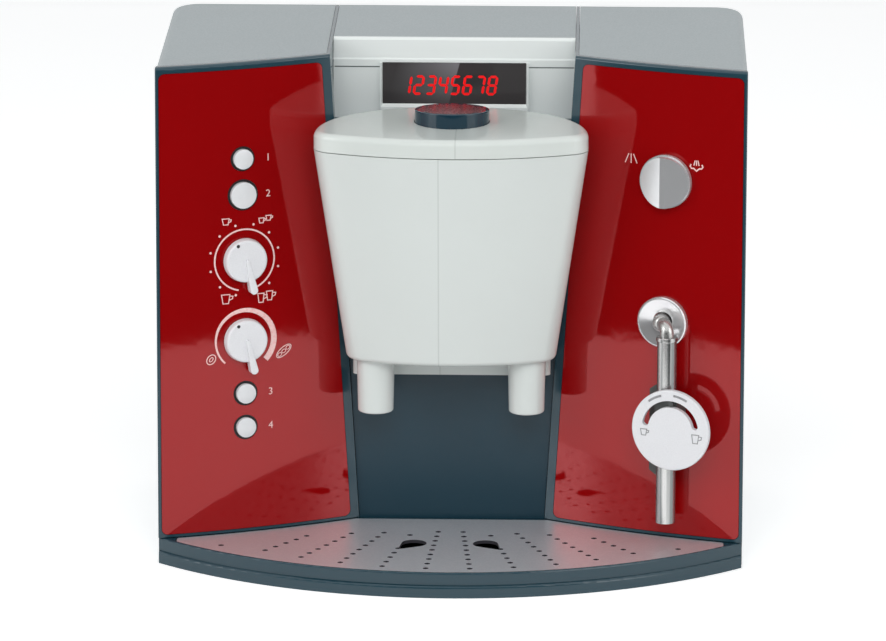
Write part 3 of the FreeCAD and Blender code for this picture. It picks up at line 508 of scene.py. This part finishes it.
SILVER_WHITE = MouldedPlastic("pearl_silver_abs", "#E9EAED", 0.26, drift=0.03, grain_mm=0.3,
                              grain_height_mm=0.0004)
BOSS_SILVER = MouldedPlastic("spun_silver_lacquer", "#EDEDEF", 0.18, metallic=0.7, drift=0.02, grain_mm=0.3,
                             grain_height_mm=0.0004)
BUTTON_SILVER = MouldedPlastic("pearl_silver_button_abs", "#E4E6E8", 0.16, drift=0.04, drift_mm=6.0,
                               grain_mm=0.3, grain_height_mm=0.0004)
STEAM_SILVER = MouldedPlastic("satin_silver_lacquer", "#E9EAEC", 0.20, metallic=0.65, drift=0.02,
                              ripple_height_mm=0.004, grain_mm=0.3, grain_height_mm=0.0004)
# The tube's dark bands are a painted reflection of its surroundings.
CHROME_TUBE = BarePlating("chrome_plate", "#DDDEDD", 0.18, band_colour="#8A8D8D", metallic=0.8)
SATIN_CHROME = BarePlating("satin_chrome_plate", "#C4C5C3", 0.28, metallic=0.8)
ZINC_STEEL = BarePlating("zinc_plated_steel", "#B9BBBD", 0.32)
DRIP_METAL = MetallicPaint("silver_lilac_lacquer", "#E6E8EC", "#F4F4F7", "#3B3A40", 0.38)
LABEL_FILM = MouldedPlastic("maroon_label_film", "#5C1420", 0.25)
WHITE_INK = PrintedInk("pad_printed_white", "#F8D2CF", "#F3B6B2")
# Grey print for the dial's cups, also used for painted shade in the dial's grooves.
GREY_INK_AND_GROOVE_SHADE = PrintedInk("pad_printed_grey_and_groove_shade", "#939496", "#A6A7A9")
# Painted shade for the narrow joint under the header's cap, drawn with the ink finish.
SEAM_SHADE = PrintedInk("seam_shade", "#5D6565", "#687070")
# Painted shade: finish of the dark rings in the gaps round the side buttons.
GAP_SHADE_FINISH = MouldedPlastic("black_gap_shade", "#1B1C1E", 0.5, grain_height_mm=0.004)
BLACK_INK = PrintedInk("pad_printed_black", "#2E2E30", "#3C3C3E")
# The display's digits are printed; their faint glow is painted light.
DIGIT_INK = PrintedInk("red_display_print_painted_glow", "#FF0A10", "#EE060C", 0.4, 0.22)
WINDOW = SmokedWindow("smoked_display_card", "#3E3A3B", "#858387")

FINISH_OF_NODE = {
    "wing_panel_left": RED_PANEL, "wing_panel_right": RED_PANEL,
    "wing_frame_left": PETROL, "wing_frame_right": PETROL,
    "recess_cheek_left": PETROL, "recess_cheek_right": PETROL,
    "recess_panel": PETROL_BACK, "recess_deck": PETROL_BACK,
    "side_shell_left": GREY_SHELL, "side_shell_right": GREY_SHELL, "top_cover": GREY_SHELL,
    "back_cover": GREY_SHELL, "screw_posts_left": GREY_SHELL, "screw_posts_right": GREY_SHELL,
    "base_plate": DARK_INNER, "bracket_left": DARK_INNER, "bracket_right": DARK_INNER,
    "frother_guide": DARK_INNER,
    "header_panel": WHITE_TRIM_LIGHTENED, "header_cap": WHITE_TRIM_LIGHTENED, "display_bezel": WHITE_TRIM_LIGHTENED,
    "brew_head": WHITE_HEAD, "head_underplate": WHITE_HEAD,
    "spout_left": WHITE_HEAD, "spout_right": WHITE_HEAD,
    "lid": WHITE_LID, "pump_barrel": WHITE_LID,
    "display_window": WINDOW, "start_button": BUTTON_PETROL, "start_label": LABEL_FILM,
    "start_spring": ZINC_STEEL, "back_screws": ZINC_STEEL,
    "knob_upper_clip": ZINC_STEEL, "knob_lower_clip": ZINC_STEEL, "steam_knob_clip": ZINC_STEEL,
    "button_1": BUTTON_SILVER, "button_2": BUTTON_SILVER,
    "button_3": BUTTON_SILVER, "button_4": BUTTON_SILVER,
    "knob_upper": SILVER_WHITE, "knob_lower": SILVER_WHITE, "steam_knob": STEAM_SILVER,
    "frother_boss": BOSS_SILVER, "froth_dial": SILVER_WHITE,
    "frother_elbow": SATIN_CHROME, "frother_tube": CHROME_TUBE,
    "drip_tray": PETROL, "drip_plate": DRIP_METAL,
}


# Drawing thin prints


class Print:
    """A flat drawing in millimetres that becomes one thin raised print."""

    def __init__(self, thickness_mm: float = 0.06) -> None:
        """Starts an empty drawing.

        Args:
            thickness_mm: Height of the ink.
        """
        self.mesh = bmesh.new()
        self.thickness = thickness_mm

    def ribbon(self, points: list[tuple[float, float]], widths: float | list[float],
               closed: bool = False) -> None:
        """Draws one stroke along a path, by extruding its first edge from point to point.

        Args:
            points: The path.
            widths: One width, or one for each point.
            closed: Whether the stroke returns to its start.
        """
        path = [Vector((x, y, 0)) for x, y in points]
        width = [widths] * len(path) if isinstance(widths, (int, float)) else list(widths)
        if closed:
            path.append(path[0])
            width.append(width[0])
        edge = None
        ends = []
        for i, spot in enumerate(path):
            before = path[i - 1] if i else (path[-2] if closed else None)
            after = path[i + 1] if i + 1 < len(path) else (path[1] if closed else None)
            into = (spot - before).normalized() if before is not None else (after - spot).normalized()
            out = (after - spot).normalized() if after is not None else into
            along = (into + out).normalized()
            side = Vector((-along.y, along.x, 0)) * (width[i] / 2 / max(0.4, along.dot(into)))
            if edge is None:
                pair = [self.mesh.verts.new(spot + side), self.mesh.verts.new(spot - side)]
                edge = self.mesh.edges.new(pair)
                self.mesh.verts.index_update()
            else:
                made = bmesh.ops.extrude_edge_only(self.mesh, edges=[edge])["geom"]
                fresh = [v for v in made if isinstance(v, bmesh.types.BMVert)]
                edge = next(e for e in made if isinstance(e, bmesh.types.BMEdge)
                            and all(v in fresh for v in e.verts))
                lead = next(v for v in fresh if any(e.other_vert(v) is ends[-1][0] for e in v.link_edges))
                trail = next(v for v in fresh if v is not lead)
                lead.co = spot + side
                trail.co = spot - side
                pair = [lead, trail]
            ends.append(pair)
        if closed:
            bmesh.ops.remove_doubles(self.mesh, verts=ends[0] + ends[-1], dist=1e-4)

    def arc(self, centre: tuple[float, float], radius: float, width: tuple[float, float],
            start: float, end: float, steps: int = 40) -> None:
        """Draws an arc whose width changes evenly.

        Args:
            centre: Middle of the arc.
            radius: Radius of its middle line.
            width: Width at the start and at the end.
            start: First angle in degrees.
            end: Last angle in degrees.
            steps: Number of straight pieces.
        """
        shares = [i / steps for i in range(steps + 1)]
        turns = [math.radians(start + (end - start) * s) for s in shares]
        points = [(centre[0] + radius * math.cos(a), centre[1] + radius * math.sin(a)) for a in turns]
        self.ribbon(points, [width[0] + (width[1] - width[0]) * s for s in shares])

    def oval(self, centre: tuple[float, float], half: tuple[float, float], width: float, tilt: float = 0.0,
             steps: int = 24) -> None:
        """Draws a closed oval line.

        Args:
            centre: Middle of the oval.
            half: Half its length and half its breadth.
            width: Width of the line.
            tilt: Turn in degrees.
            steps: Number of straight pieces.
        """
        lean = math.radians(tilt)
        points = []
        for i in range(steps):
            a = 2 * math.pi * i / steps
            x, y = half[0] * math.cos(a), half[1] * math.sin(a)
            points.append((centre[0] + x * math.cos(lean) - y * math.sin(lean),
                           centre[1] + x * math.sin(lean) + y * math.cos(lean)))
        self.ribbon(points, width, closed=True)

    def dot(self, centre: tuple[float, float], radius: float) -> None:
        """Draws one filled dot.

        Args:
            centre: Middle of the dot.
            radius: Radius.
        """
        bmesh.ops.create_circle(self.mesh, cap_ends=True, segments=14, radius=radius,
                                matrix=Matrix.Translation((centre[0], centre[1], 0)))

    def cup(self, centre: tuple[float, float], width: float, height: float, line: float) -> None:
        """Draws a plain cup outline with a small ear.

        Args:
            centre: Middle of the cup.
            width: Width at its rim.
            height: Height.
            line: Width of the line.
        """
        x, y = centre
        low = width * 0.33
        self.ribbon([(x - width / 2, y + height / 2), (x + width / 2, y + height / 2),
                     (x + low, y - height / 2), (x - low, y - height / 2)], line, closed=True)
        ear = height * 0.22
        self.ribbon([(x + width / 2 - line / 2, y + ear * 1.5), (x + width / 2 + ear * 1.6, y + ear * 1.3),
                     (x + width / 2 + ear * 1.3, y), (x + width * 0.42, y - ear * 0.6)], line)

    def number(self, text: str, place: tuple[float, float], size: float) -> None:
        """Sets a plain number in the built-in typeface.

        Args:
            text: The digits.
            place: Lower left corner.
            size: Size of the type.
        """
        curve = bpy.data.curves.new("number", "FONT")
        curve.body = text
        curve.size = size
        curve.resolution_u = 3
        holder = bpy.data.objects.new("number", curve)
        flat = bpy.data.meshes.new_from_object(holder)
        flat.transform(Matrix.Translation((place[0], place[1], 0)))
        self.mesh.from_mesh(flat)
        bpy.data.objects.remove(holder)
        bpy.data.curves.remove(curve)
        bpy.data.meshes.remove(flat)

    def raised(self) -> bmesh.types.BMesh:
        """Gives the drawing its thickness.

        Returns:
            The mesh, in millimetres, its underside at zero.
        """
        bmesh.ops.remove_doubles(self.mesh, verts=self.mesh.verts, dist=1e-3)
        for face in self.mesh.faces:
            face.normal_update()
            if face.normal.z < 0:
                face.normal_flip()
        bmesh.ops.solidify(self.mesh, geom=self.mesh.faces[:], thickness=-self.thickness)
        lowest = min(v.co.z for v in self.mesh.verts)
        bmesh.ops.translate(self.mesh, verts=self.mesh.verts, vec=(0, 0, -lowest))
        bmesh.ops.recalc_face_normals(self.mesh, faces=self.mesh.faces[:])
        return self.mesh


def new_piece(mesh: bmesh.types.BMesh, name: str, material: bpy.types.Material) -> bpy.types.Object:
    """Turns a mesh that is already in place into an object.

    Args:
        mesh: The mesh in metres, in the shared frame.
        name: Name of the object.
        material: Its finish.

    Returns:
        The new object.
    """
    data = bpy.data.meshes.new(name)
    mesh.to_mesh(data)
    mesh.free()
    data.materials.append(material)
    piece = bpy.data.objects.new(name, data)
    bpy.context.scene.collection.objects.link(piece)
    return piece


def finish_piece(mesh: bmesh.types.BMesh, name: str, body: str,
                 material: bpy.types.Material) -> None:
    """Turns a mesh that is already in place into a piece that rides on a body.

    Args:
        mesh: The mesh in metres, in the shared frame.
        name: Name of the piece.
        body: Body that it moves with.
        material: Its finish.
    """
    piece = new_piece(mesh, name, material)
    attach(piece, body)
    LOG.info("%s: %d faces, on %s", name, len(piece.data.polygons), body)


# Places on the toy


@dataclass(frozen=True)
class WingFace:
    """The curved front of one wing, as an upright cylinder of large radius."""

    side: Side
    radius: float = 400 * MM
    centre_x: float = 248.91 * MM
    centre_y: float = 384.89 * MM + FRONT_CORNER_Y
    lift: float = 0.02 * MM

    def station(self, across: float, height: float) -> Matrix:
        """Finds a place on the wing.

        Args:
            across: Distance from the toy's middle, in metres.
            height: Height, in metres.

        Returns:
            A frame with X to the right along the wing, Y up and Z straight out.
        """
        angle = self.angle(across)
        out = Vector((math.cos(angle), math.sin(angle), 0))
        spot = Vector((self.side.value * self.centre_x, self.centre_y, height)) + out * self.radius
        right = Vector((0, 0, 1)).cross(out)
        turned = Matrix((right, Vector((0, 0, 1)), out)).transposed().to_4x4()
        return Matrix.Translation(spot) @ turned

    def angle(self, across: float) -> float:
        """Finds the direction of the wing's outward normal.

        Args:
            across: Distance from the toy's middle, in metres.

        Returns:
            Its angle about Z in radians.
        """
        run = self.side.value * (across - self.centre_x)
        return -math.acos(run / self.radius)

    def seat(self, mesh: bmesh.types.BMesh, across_mm: float, height_mm: float) -> None:
        """Moves a mesh in millimetres to a place on the wing, and turns it to metres.

        Args:
            mesh: The mesh, with Z out of the wing.
            across_mm: Distance from the toy's middle.
            height_mm: Height.
        """
        station = self.station(across_mm * MM, height_mm * MM)
        bmesh.ops.transform(mesh, matrix=station @ Matrix.Scale(MM, 4), verts=mesh.verts)

    def wrap(self, mesh: bmesh.types.BMesh, across_mm: float, height_mm: float) -> bmesh.types.BMesh:
        """Bends a flat drawing onto the wing.

        Args:
            mesh: Drawing in millimetres.
            across_mm: Distance of its origin from the toy's middle.
            height_mm: Height of its origin.

        Returns:
            The same mesh, in metres and in place.
        """
        start = self.angle(across_mm * MM)
        for vert in mesh.verts:
            u, v, w = vert.co * MM
            angle = start + u / self.radius
            reach = self.radius + self.lift + w
            vert.co = Vector((self.side.value * self.centre_x + reach * math.cos(angle),
                              self.centre_y + reach * math.sin(angle), height_mm * MM + v))
        return mesh


def stand_up(mesh: bmesh.types.BMesh, front: float, height_mm: float = 0.0,
             lift: float = 0.01 * MM) -> bmesh.types.BMesh:
    """Stands a flat drawing upright in front of a flat face.

    Args:
        mesh: Drawing in millimetres.
        front: Place of the face along Y, in metres.
        height_mm: Height of the drawing's origin.
        lift: Gap behind the ink, in metres.

    Returns:
        The same mesh, in metres and in place.
    """
    for vert in mesh.verts:
        u, v, w = vert.co * MM
        vert.co = Vector((u, front - lift - w, height_mm * MM + v))
    bmesh.ops.recalc_face_normals(mesh, faces=mesh.faces[:])
    return mesh


# Sub-assemblies


@dataclass
class Housing:
    """All solids of the toy, dressed in their finishes."""

    def dress(self) -> None:
        """Gives every solid its finish."""
        made = {}
        for node, finish in FINISH_OF_NODE.items():
            if finish.name not in made:
                made[finish.name] = finish.material()
            data = NODES[node].data
            data.materials.clear()
            data.materials.append(made[finish.name])
            LOG.info("%s: %s", node, finish.name)


@dataclass
class ControlMarks:
    """Printed scales, symbols and numbers on the left wing."""

    line: float = 0.46
    ring_radius: float = 15.0
    ring_line: float = 0.782
    ring_turns: tuple[float, float] = (-76, 258)
    scale_radius: float = 17.6
    scale_start: float = -75
    scale_sweep: float = 330
    scale_dots: int = 12
    dot_radius: float = 0.6
    crescent_radius: float = 14.7
    crescent_turns: tuple[float, ...] = (-45, 25, 175, 227)
    crescent_widths: tuple[float, ...] = (3.0, 2.8, 1.05, 0.85)
    number_size: float = 5.0
    number_place: tuple[float, float] = (11.5, -1.7)

    CUPS = (((-9.4, 19.3), 3.5, 2.9), ((8.6, 18.6), 2.6, 2.4), ((12.2, 19.6), 2.6, 2.4),
            ((-9.6, -18.6), 4.2, 4.4), ((8.2, -19.4), 3.2, 4.4), ((12.6, -18.6), 3.2, 4.4))

    def build(self) -> None:
        """Builds the marks of the left wing."""
        wing = WingFace(Side.LEFT)
        ink = WHITE_INK.material()
        marks = [("upper_knob_scale", self.upper_scale(), KNOB_ACROSS, UPPER_KNOB_Z),
                 ("lower_knob_scale", self.lower_scale(), KNOB_ACROSS, LOWER_KNOB_Z)]
        for place, (across, height, _) in enumerate(BUTTONS, 1):
            label = Print()
            label.number(str(place), self.number_place, self.number_size)
            marks.append((f"button_number_{place}", label, across, height))
        for name, drawing, across, height in marks:
            finish_piece(wing.wrap(drawing.raised(), across, height), name, "housing", ink)

    def upper_scale(self) -> Print:
        """Draws the ring, dots and cups round the upper knob.

        Returns:
            The drawing.
        """
        drawing = Print()
        drawing.arc((0, 0), self.ring_radius, (self.ring_line, self.ring_line), *self.ring_turns, 72)
        reach = self.scale_radius
        for k in range(self.scale_dots):
            angle = math.radians(self.scale_start + k * self.scale_sweep / (self.scale_dots - 1))
            drawing.dot((reach * math.cos(angle), reach * math.sin(angle)), self.dot_radius)
        for centre, width, height in self.CUPS:
            drawing.cup(centre, width, height, self.line)
        return drawing

    def lower_scale(self) -> Print:
        """Draws the swelling arc and the bean symbols round the lower knob.

        Returns:
            The drawing.
        """
        drawing = Print()
        for k, (start, end) in enumerate(zip(self.crescent_turns, self.crescent_turns[1:])):
            drawing.arc((0, 0), self.crescent_radius, self.crescent_widths[k:k + 2], start, end, 30)
        inner_line = self.line * 0.8
        drawing.oval((-17.0, -8.4), (2.6, 2.0), self.line, 50)
        drawing.oval((-17.0, -8.4), (1.2, 0.7), inner_line, 50)
        x, y = 19.8, -7.3
        drawing.oval((x, y), (4.5, 1.9), self.line, 37)
        for step in (-1, 0, 1):
            drawing.oval((x + step * 2.1, y + step * 1.58), (1.1, 0.8), inner_line, 37)
        return drawing


@dataclass
class SteamMarks:
    """Printed symbols beside the steam knob on the right wing."""

    line: float = 0.5
    cloud_line: float = 0.65

    def build(self) -> None:
        """Builds the marks of the right wing."""
        drawing = Print()
        for x, near, far, top, foot in ((-18.4, 1.2, 3.1, 11.5, 7.0), (14.9, 0.7, 1.3, 11.1, 8.6)):
            for lean in (-1, 0, 1):
                drawing.ribbon([(x + lean * near, top), (x + lean * far, foot)], self.line)
        drawing.ribbon([(12.2, 9.2), (11.7, 8.1), (12.4, 7.2), (13.5, 7.2), (14.9, 6.0),
                        (16.3, 7.2), (17.4, 7.2), (18.1, 8.1), (17.6, 9.2)], self.cloud_line)
        finish_piece(WingFace(Side.RIGHT).wrap(drawing.raised(), *STEAM_KNOB),
                     "steam_symbols", "housing", WHITE_INK.material())


@dataclass
class DisplayDigits:
    """Red seven-segment digits on the display card."""

    text: str = "12345678"
    pitch: float = 5.9
    width: float = 3.6
    height: float = 8.5
    stroke: float = 1.25
    tip: float = 0.15
    tip_gap: float = 0.12
    taper: float = 0.75
    lean: float = 0.16
    middle_x: float = -2.4
    middle_z: float = 220.0

    SEGMENTS = {"1": "bc", "2": "abged", "3": "abgcd", "4": "fgbc", "5": "afgcd", "6": "afgedc", "7": "abc",
                "8": "abcdefg"}

    def build(self) -> None:
        """Builds the row of digits."""
        drawing = Print(0.05)
        first = self.middle_x - (len(self.text) - 1) / 2 * self.pitch
        for place, digit in enumerate(self.text):
            self.draw_digit(drawing, digit, first + place * self.pitch)
        mesh = stand_up(drawing.raised(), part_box("display_window")[0].y, self.middle_z)
        finish_piece(mesh, "display_digits", "housing", DIGIT_INK.material())

    def draw_digit(self, drawing: Print, digit: str, middle: float) -> None:
        """Draws one digit from its lit segments.

        Args:
            drawing: Drawing that gets it.
            digit: The digit.
            middle: Its middle along the row.
        """
        w, h = self.width / 2, self.height / 2
        ends = {"a": ((-w, h), (w, h)), "b": ((w, h), (w, 0)), "c": ((w, 0), (w, -h)),
                "d": ((-w, -h), (w, -h)), "e": ((-w, 0), (-w, -h)), "f": ((-w, h), (-w, 0)),
                "g": ((-w, 0), (w, 0))}
        for segment in self.SEGMENTS[digit]:
            (x0, y0), (x1, y1) = ends[segment]
            length = math.hypot(x1 - x0, y1 - y0)
            ux, uy = (x1 - x0) / length, (y1 - y0) / length
            stops = (self.tip_gap, self.taper, length - self.taper, length - self.tip_gap)
            points = [(x0 + ux * s, y0 + uy * s) for s in stops]
            slanted = [(middle + x + y * self.lean, y) for x, y in points]
            drawing.ribbon(slanted, [self.tip, self.stroke, self.stroke, self.tip])


@dataclass
class KnobIndexes:
    """Dark index dots let into the tops of the two turning knobs."""

    radius: float = 0.8
    place: float = 8.9
    turn: float = 120.0
    top: float = 4.0
    depth: float = 0.7
    below: float = 0.08
    heights: tuple[tuple[str, float], ...] = (("knob_upper", UPPER_KNOB_Z), ("knob_lower", LOWER_KNOB_Z))

    def build(self) -> None:
        """Builds one dot for each knob."""
        ink = BLACK_INK.material()
        for knob, height in self.heights:
            mesh = bmesh.new()
            angle = math.radians(self.turn)
            spot = Matrix.Translation((self.place * math.cos(angle), self.place * math.sin(angle),
                                       self.top - self.depth / 2 - self.below))
            bmesh.ops.create_cone(mesh, cap_ends=True, segments=16, radius1=self.radius, radius2=self.radius,
                                  depth=self.depth, matrix=spot)
            WingFace(Side.LEFT).seat(mesh, KNOB_ACROSS, height)
            finish_piece(mesh, f"{knob}_index", knob, ink)


@dataclass
class ButtonCollars:
    """Dark rings in the gap round each side button, painted shade where the gap falls dark."""

    gap: float = 1.3
    play: float = 0.12
    face: float = -0.3
    thickness: float = 0.9
    edge_round: float = 0.15
    steps: int = 48

    def build(self) -> None:
        """Builds one dark ring for each button, as a rounded rectangle spun about the button's axis."""
        gap_finish = GAP_SHADE_FINISH.material()
        for number, (across, height, radius) in enumerate(BUTTONS, 1):
            inner = radius + self.play
            outer = radius + self.gap - self.play / 2
            mesh = bmesh.new()
            bmesh.ops.create_grid(mesh, x_segments=1, y_segments=1, size=0.5)
            bmesh.ops.scale(mesh, vec=(outer - inner, self.thickness, 1), verts=mesh.verts)
            bmesh.ops.rotate(mesh, matrix=Matrix.Rotation(math.pi / 2, 3, "X"), verts=mesh.verts)
            bmesh.ops.translate(mesh, verts=mesh.verts,
                                vec=((inner + outer) / 2, 0, self.face - self.thickness / 2))
            bmesh.ops.bevel(mesh, geom=mesh.verts[:], affect="VERTICES", offset=self.edge_round,
                            segments=2)
            section = mesh.faces[:] + mesh.edges[:] + mesh.verts[:]
            bmesh.ops.spin(mesh, geom=section, axis=(0, 0, 1), cent=(0, 0, 0), angle=2 * math.pi,
                           steps=self.steps, use_merge=True)
            bmesh.ops.remove_doubles(mesh, verts=mesh.verts, dist=1e-3)
            inside = [f for f in mesh.faces if all(len(e.link_faces) > 2 for e in f.edges)]
            bmesh.ops.delete(mesh, geom=inside, context="FACES_ONLY")
            bmesh.ops.recalc_face_normals(mesh, faces=mesh.faces[:])
            WingFace(Side.LEFT).seat(mesh, across, height)
            finish_piece(mesh, f"button_gap_shade_{number}", "housing", gap_finish)


@dataclass
class HeaderSeam:
    """Dark strip in the joint between the header's panel and its cap, on both sides of the display: painted
    shade for the narrow groove.
    """

    height: float = 0.55
    rise: float = 0.1
    inset: float = 0.6

    def build(self) -> None:
        """Builds the two strips."""
        panel_low, panel_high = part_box("header_panel")
        frame_low, frame_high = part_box("display_bezel")
        drawing = Print(0.05)
        level = panel_high.z / MM + self.rise
        for start, end in ((panel_low.x / MM + self.inset, frame_low.x / MM),
                           (frame_high.x / MM, panel_high.x / MM - self.inset)):
            # Each strip is painted shade in the joint's groove.
            drawing.ribbon([(start, level), (end, level)], self.height)
        mesh = stand_up(drawing.raised(), panel_low.y)
        finish_piece(mesh, "header_seam", "housing", SEAM_SHADE.material())


@dataclass
class DialMarks:
    """Faint printed cup outlines, and painted shade in two grooves, on the froth dial."""

    line: float = 0.45
    groove_radius: float = 17.3
    groove_width: float = 1.1
    groove_middle: float = 95.1
    groove_near: float = 10.5
    groove_far: float = 34.0
    dial_side: float = 10.9
    dial_drop: float = 48.3
    dial_front: float = 18.3
    lift: float = 0.01

    def build(self) -> None:
        """Builds the marks, which turn with the dial."""
        drawing = Print(0.05)
        drawing.cup((-13.4, -2.0), 3.2, 3.0, self.line)
        drawing.cup((12.9, -2.9), 3.6, 4.2, self.line)
        widths = (self.groove_width, self.groove_width)
        # These two arcs are painted shade at the bottom of the grooves.
        for start in (self.groove_middle - self.groove_far, self.groove_middle + self.groove_near):
            drawing.arc((0, 0), self.groove_radius, widths, start,
                        start + self.groove_far - self.groove_near, 16)
        mesh = drawing.raised()
        bmesh.ops.translate(mesh, verts=mesh.verts,
                            vec=(self.dial_side, -self.dial_drop, self.dial_front + self.lift))
        WingFace(Side.RIGHT).seat(mesh, *FROTHER_BOSS)
        finish_piece(mesh, "dial_cups_and_groove_shade", "froth_dial", GREY_INK_AND_GROOVE_SHADE.material())


# Studio


@dataclass(frozen=True)
class Lamp:
    """One soft box, which reflections may or may not see."""

    name: str
    place: tuple[float, float, float]
    size: tuple[float, float]
    power: float
    mirrored: bool = True

    def build(self, target: Vector) -> None:
        """Adds the lamp, aimed at a point.

        Args:
            target: Point that it faces.
        """
        light = bpy.data.lights.new(self.name, "AREA")
        light.shape = "RECTANGLE"
        light.size, light.size_y = self.size
        light.energy = self.power
        holder = bpy.data.objects.new(self.name, light)
        holder.visible_glossy = self.mirrored
        spot = Vector(self.place)
        turn = (target - spot).to_track_quat("-Z", "Y").to_matrix().to_4x4()
        holder.matrix_world = Matrix.Translation(spot) @ turn
        bpy.context.scene.collection.objects.link(holder)


@dataclass
class Studio:
    """Camera, floor, soft boxes and surroundings."""

    focal_px: float = 6996.0
    width_px: float = 886.0
    sensor_mm: float = 36.0
    pitch: float = 14.176
    yaw: float = 1.335
    roll: float = 0.126
    eye: tuple[float, float, float] = (0.07163, -3.27494, 0.93616)
    aim: tuple[float, float, float] = (0.0, 0.0, 0.12)
    ambient: float = 0.32
    floor_half: float = 12.0
    floor_glow: float = 0.45
    floor_clouds_per_m: float = 3.0
    wall_half_width: float = 0.355
    wall_reach: float = 0.415
    wall_end: float = 0.27
    wall_height: float = 0.35
    lamps: tuple[Lamp, ...] = (Lamp("front_box", (0.1, -2.6, 1.9), (1.8, 1.2), 38.0, False),
                               Lamp("left_box", (-2.4, -1.3, 1.5), (1.6, 1.6), 22.0),
                               Lamp("right_box", (2.4, -1.3, 1.5), (1.6, 1.6), 15.0),
                               Lamp("top_box", (0.1, 0.5, 2.4), (2.0, 1.2), 5.0))

    def build(self) -> None:
        """Builds the whole studio."""
        bpy.context.scene.view_settings.view_transform = "Standard"
        self.camera()
        self.world()
        self.floor()
        self.wall()
        for lamp in self.lamps:
            lamp.build(Vector(self.aim))

    def camera(self) -> None:
        """Places the camera at the photograph's viewing angle."""
        p, y, r = (math.radians(a) for a in (self.pitch, self.yaw, self.roll))
        forward = Vector((-math.sin(y) * math.cos(p), math.cos(y) * math.cos(p), -math.sin(p)))
        right = Vector((math.cos(y), math.sin(y), 0))
        up = right.cross(forward)
        level = math.cos(r) * right + math.sin(r) * up
        high = -math.sin(r) * right + math.cos(r) * up
        data = bpy.data.cameras.new("camera")
        data.sensor_width = self.sensor_mm
        data.lens = self.focal_px / self.width_px * self.sensor_mm
        data.clip_end = 100.0
        holder = bpy.data.objects.new("camera", data)
        turned = Matrix((level, high, -forward)).transposed().to_4x4()
        holder.matrix_world = Matrix.Translation(self.eye) @ turned
        bpy.context.scene.collection.objects.link(holder)
        bpy.context.scene.camera = holder

    def world(self) -> None:
        """Gives soft light all round, and a white background to the eye and to reflections."""
        world = bpy.data.worlds.new("studio")
        world.use_nodes = True
        tree = world.node_tree
        tree.nodes.clear()
        dim = add(tree, "ShaderNodeBackground",
                  {"Color": linear("#F4F8FA"), "Strength": self.ambient}).outputs[0]
        white = add(tree, "ShaderNodeBackground", {"Color": WHITE, "Strength": 1.0}).outputs[0]
        seen = seen_rays(tree, through=True)
        both = add(tree, "ShaderNodeMixShader", None, {0: seen, 1: dim, 2: white}).outputs[0]
        add(tree, "ShaderNodeOutputWorld", None, {"Surface": both})
        bpy.context.scene.world = world

    def floor(self) -> None:
        """Lays the plain pale floor."""
        material, tree = new_material("pale_paper")
        place = add(tree, "ShaderNodeTexCoord").outputs["Object"]
        cloud = add(tree, "ShaderNodeTexNoise", {"Scale": self.floor_clouds_per_m},
                    {"Vector": place}).outputs["Fac"]
        tone = blend(tree, cloud, linear("#F6F6F6"), linear("#FAFAFA"))
        glow = math_node(tree, "MULTIPLY", seen_rays(tree), self.floor_glow)
        surface(tree, {"Roughness": 0.9, "Specular IOR Level": 0.1, "Emission Color": WHITE},
                {"Base Color": tone, "Emission Strength": glow})
        mesh = bmesh.new()
        bmesh.ops.create_grid(mesh, x_segments=1, y_segments=1, size=self.floor_half)
        self.stage(mesh, "floor", material)

    def wall(self) -> None:
        """Stands a dark curved wall round the front, which only reflections see."""
        material, tree = new_material("dark_wall")
        surface(tree, {"Base Color": linear("#161616"), "Roughness": 1.0})
        mesh = bmesh.new()
        bmesh.ops.create_cone(mesh, segments=96, radius1=1.0, radius2=1.0, depth=self.wall_height,
                              matrix=Matrix.Translation((0, 0, self.wall_height / 2)))
        bmesh.ops.scale(mesh, vec=(self.wall_half_width, self.wall_reach, 1.0), verts=mesh.verts)
        bmesh.ops.bisect_plane(mesh, geom=mesh.verts[:] + mesh.edges[:] + mesh.faces[:],
                               plane_co=(0, -self.wall_end, 0), plane_no=(0, 1, 0), clear_outer=True)
        wall = self.stage(mesh, "dark_wall", material)
        for sight in ("camera", "diffuse", "transmission", "shadow", "volume_scatter"):
            setattr(wall, f"visible_{sight}", False)

    @staticmethod
    def stage(mesh: bmesh.types.BMesh, name: str, material: bpy.types.Material) -> bpy.types.Object:
        """Adds a piece of the studio, which isn't part of the toy.

        Args:
            mesh: Its mesh, in place.
            name: Its name.
            material: Its finish.

        Returns:
            The new object.
        """
        piece = new_piece(mesh, name, material)
        return piece


def main() -> None:
    """Builds the toy's looks and the studio."""
    logging.basicConfig(level=logging.INFO, format="%(message)s")
    Housing().dress()
    ControlMarks().build()
    SteamMarks().build()
    DisplayDigits().build()
    KnobIndexes().build()
    ButtonCollars().build()
    HeaderSeam().build()
    DialMarks().build()
    Studio().build()


if __name__ == "__main__":
    main()
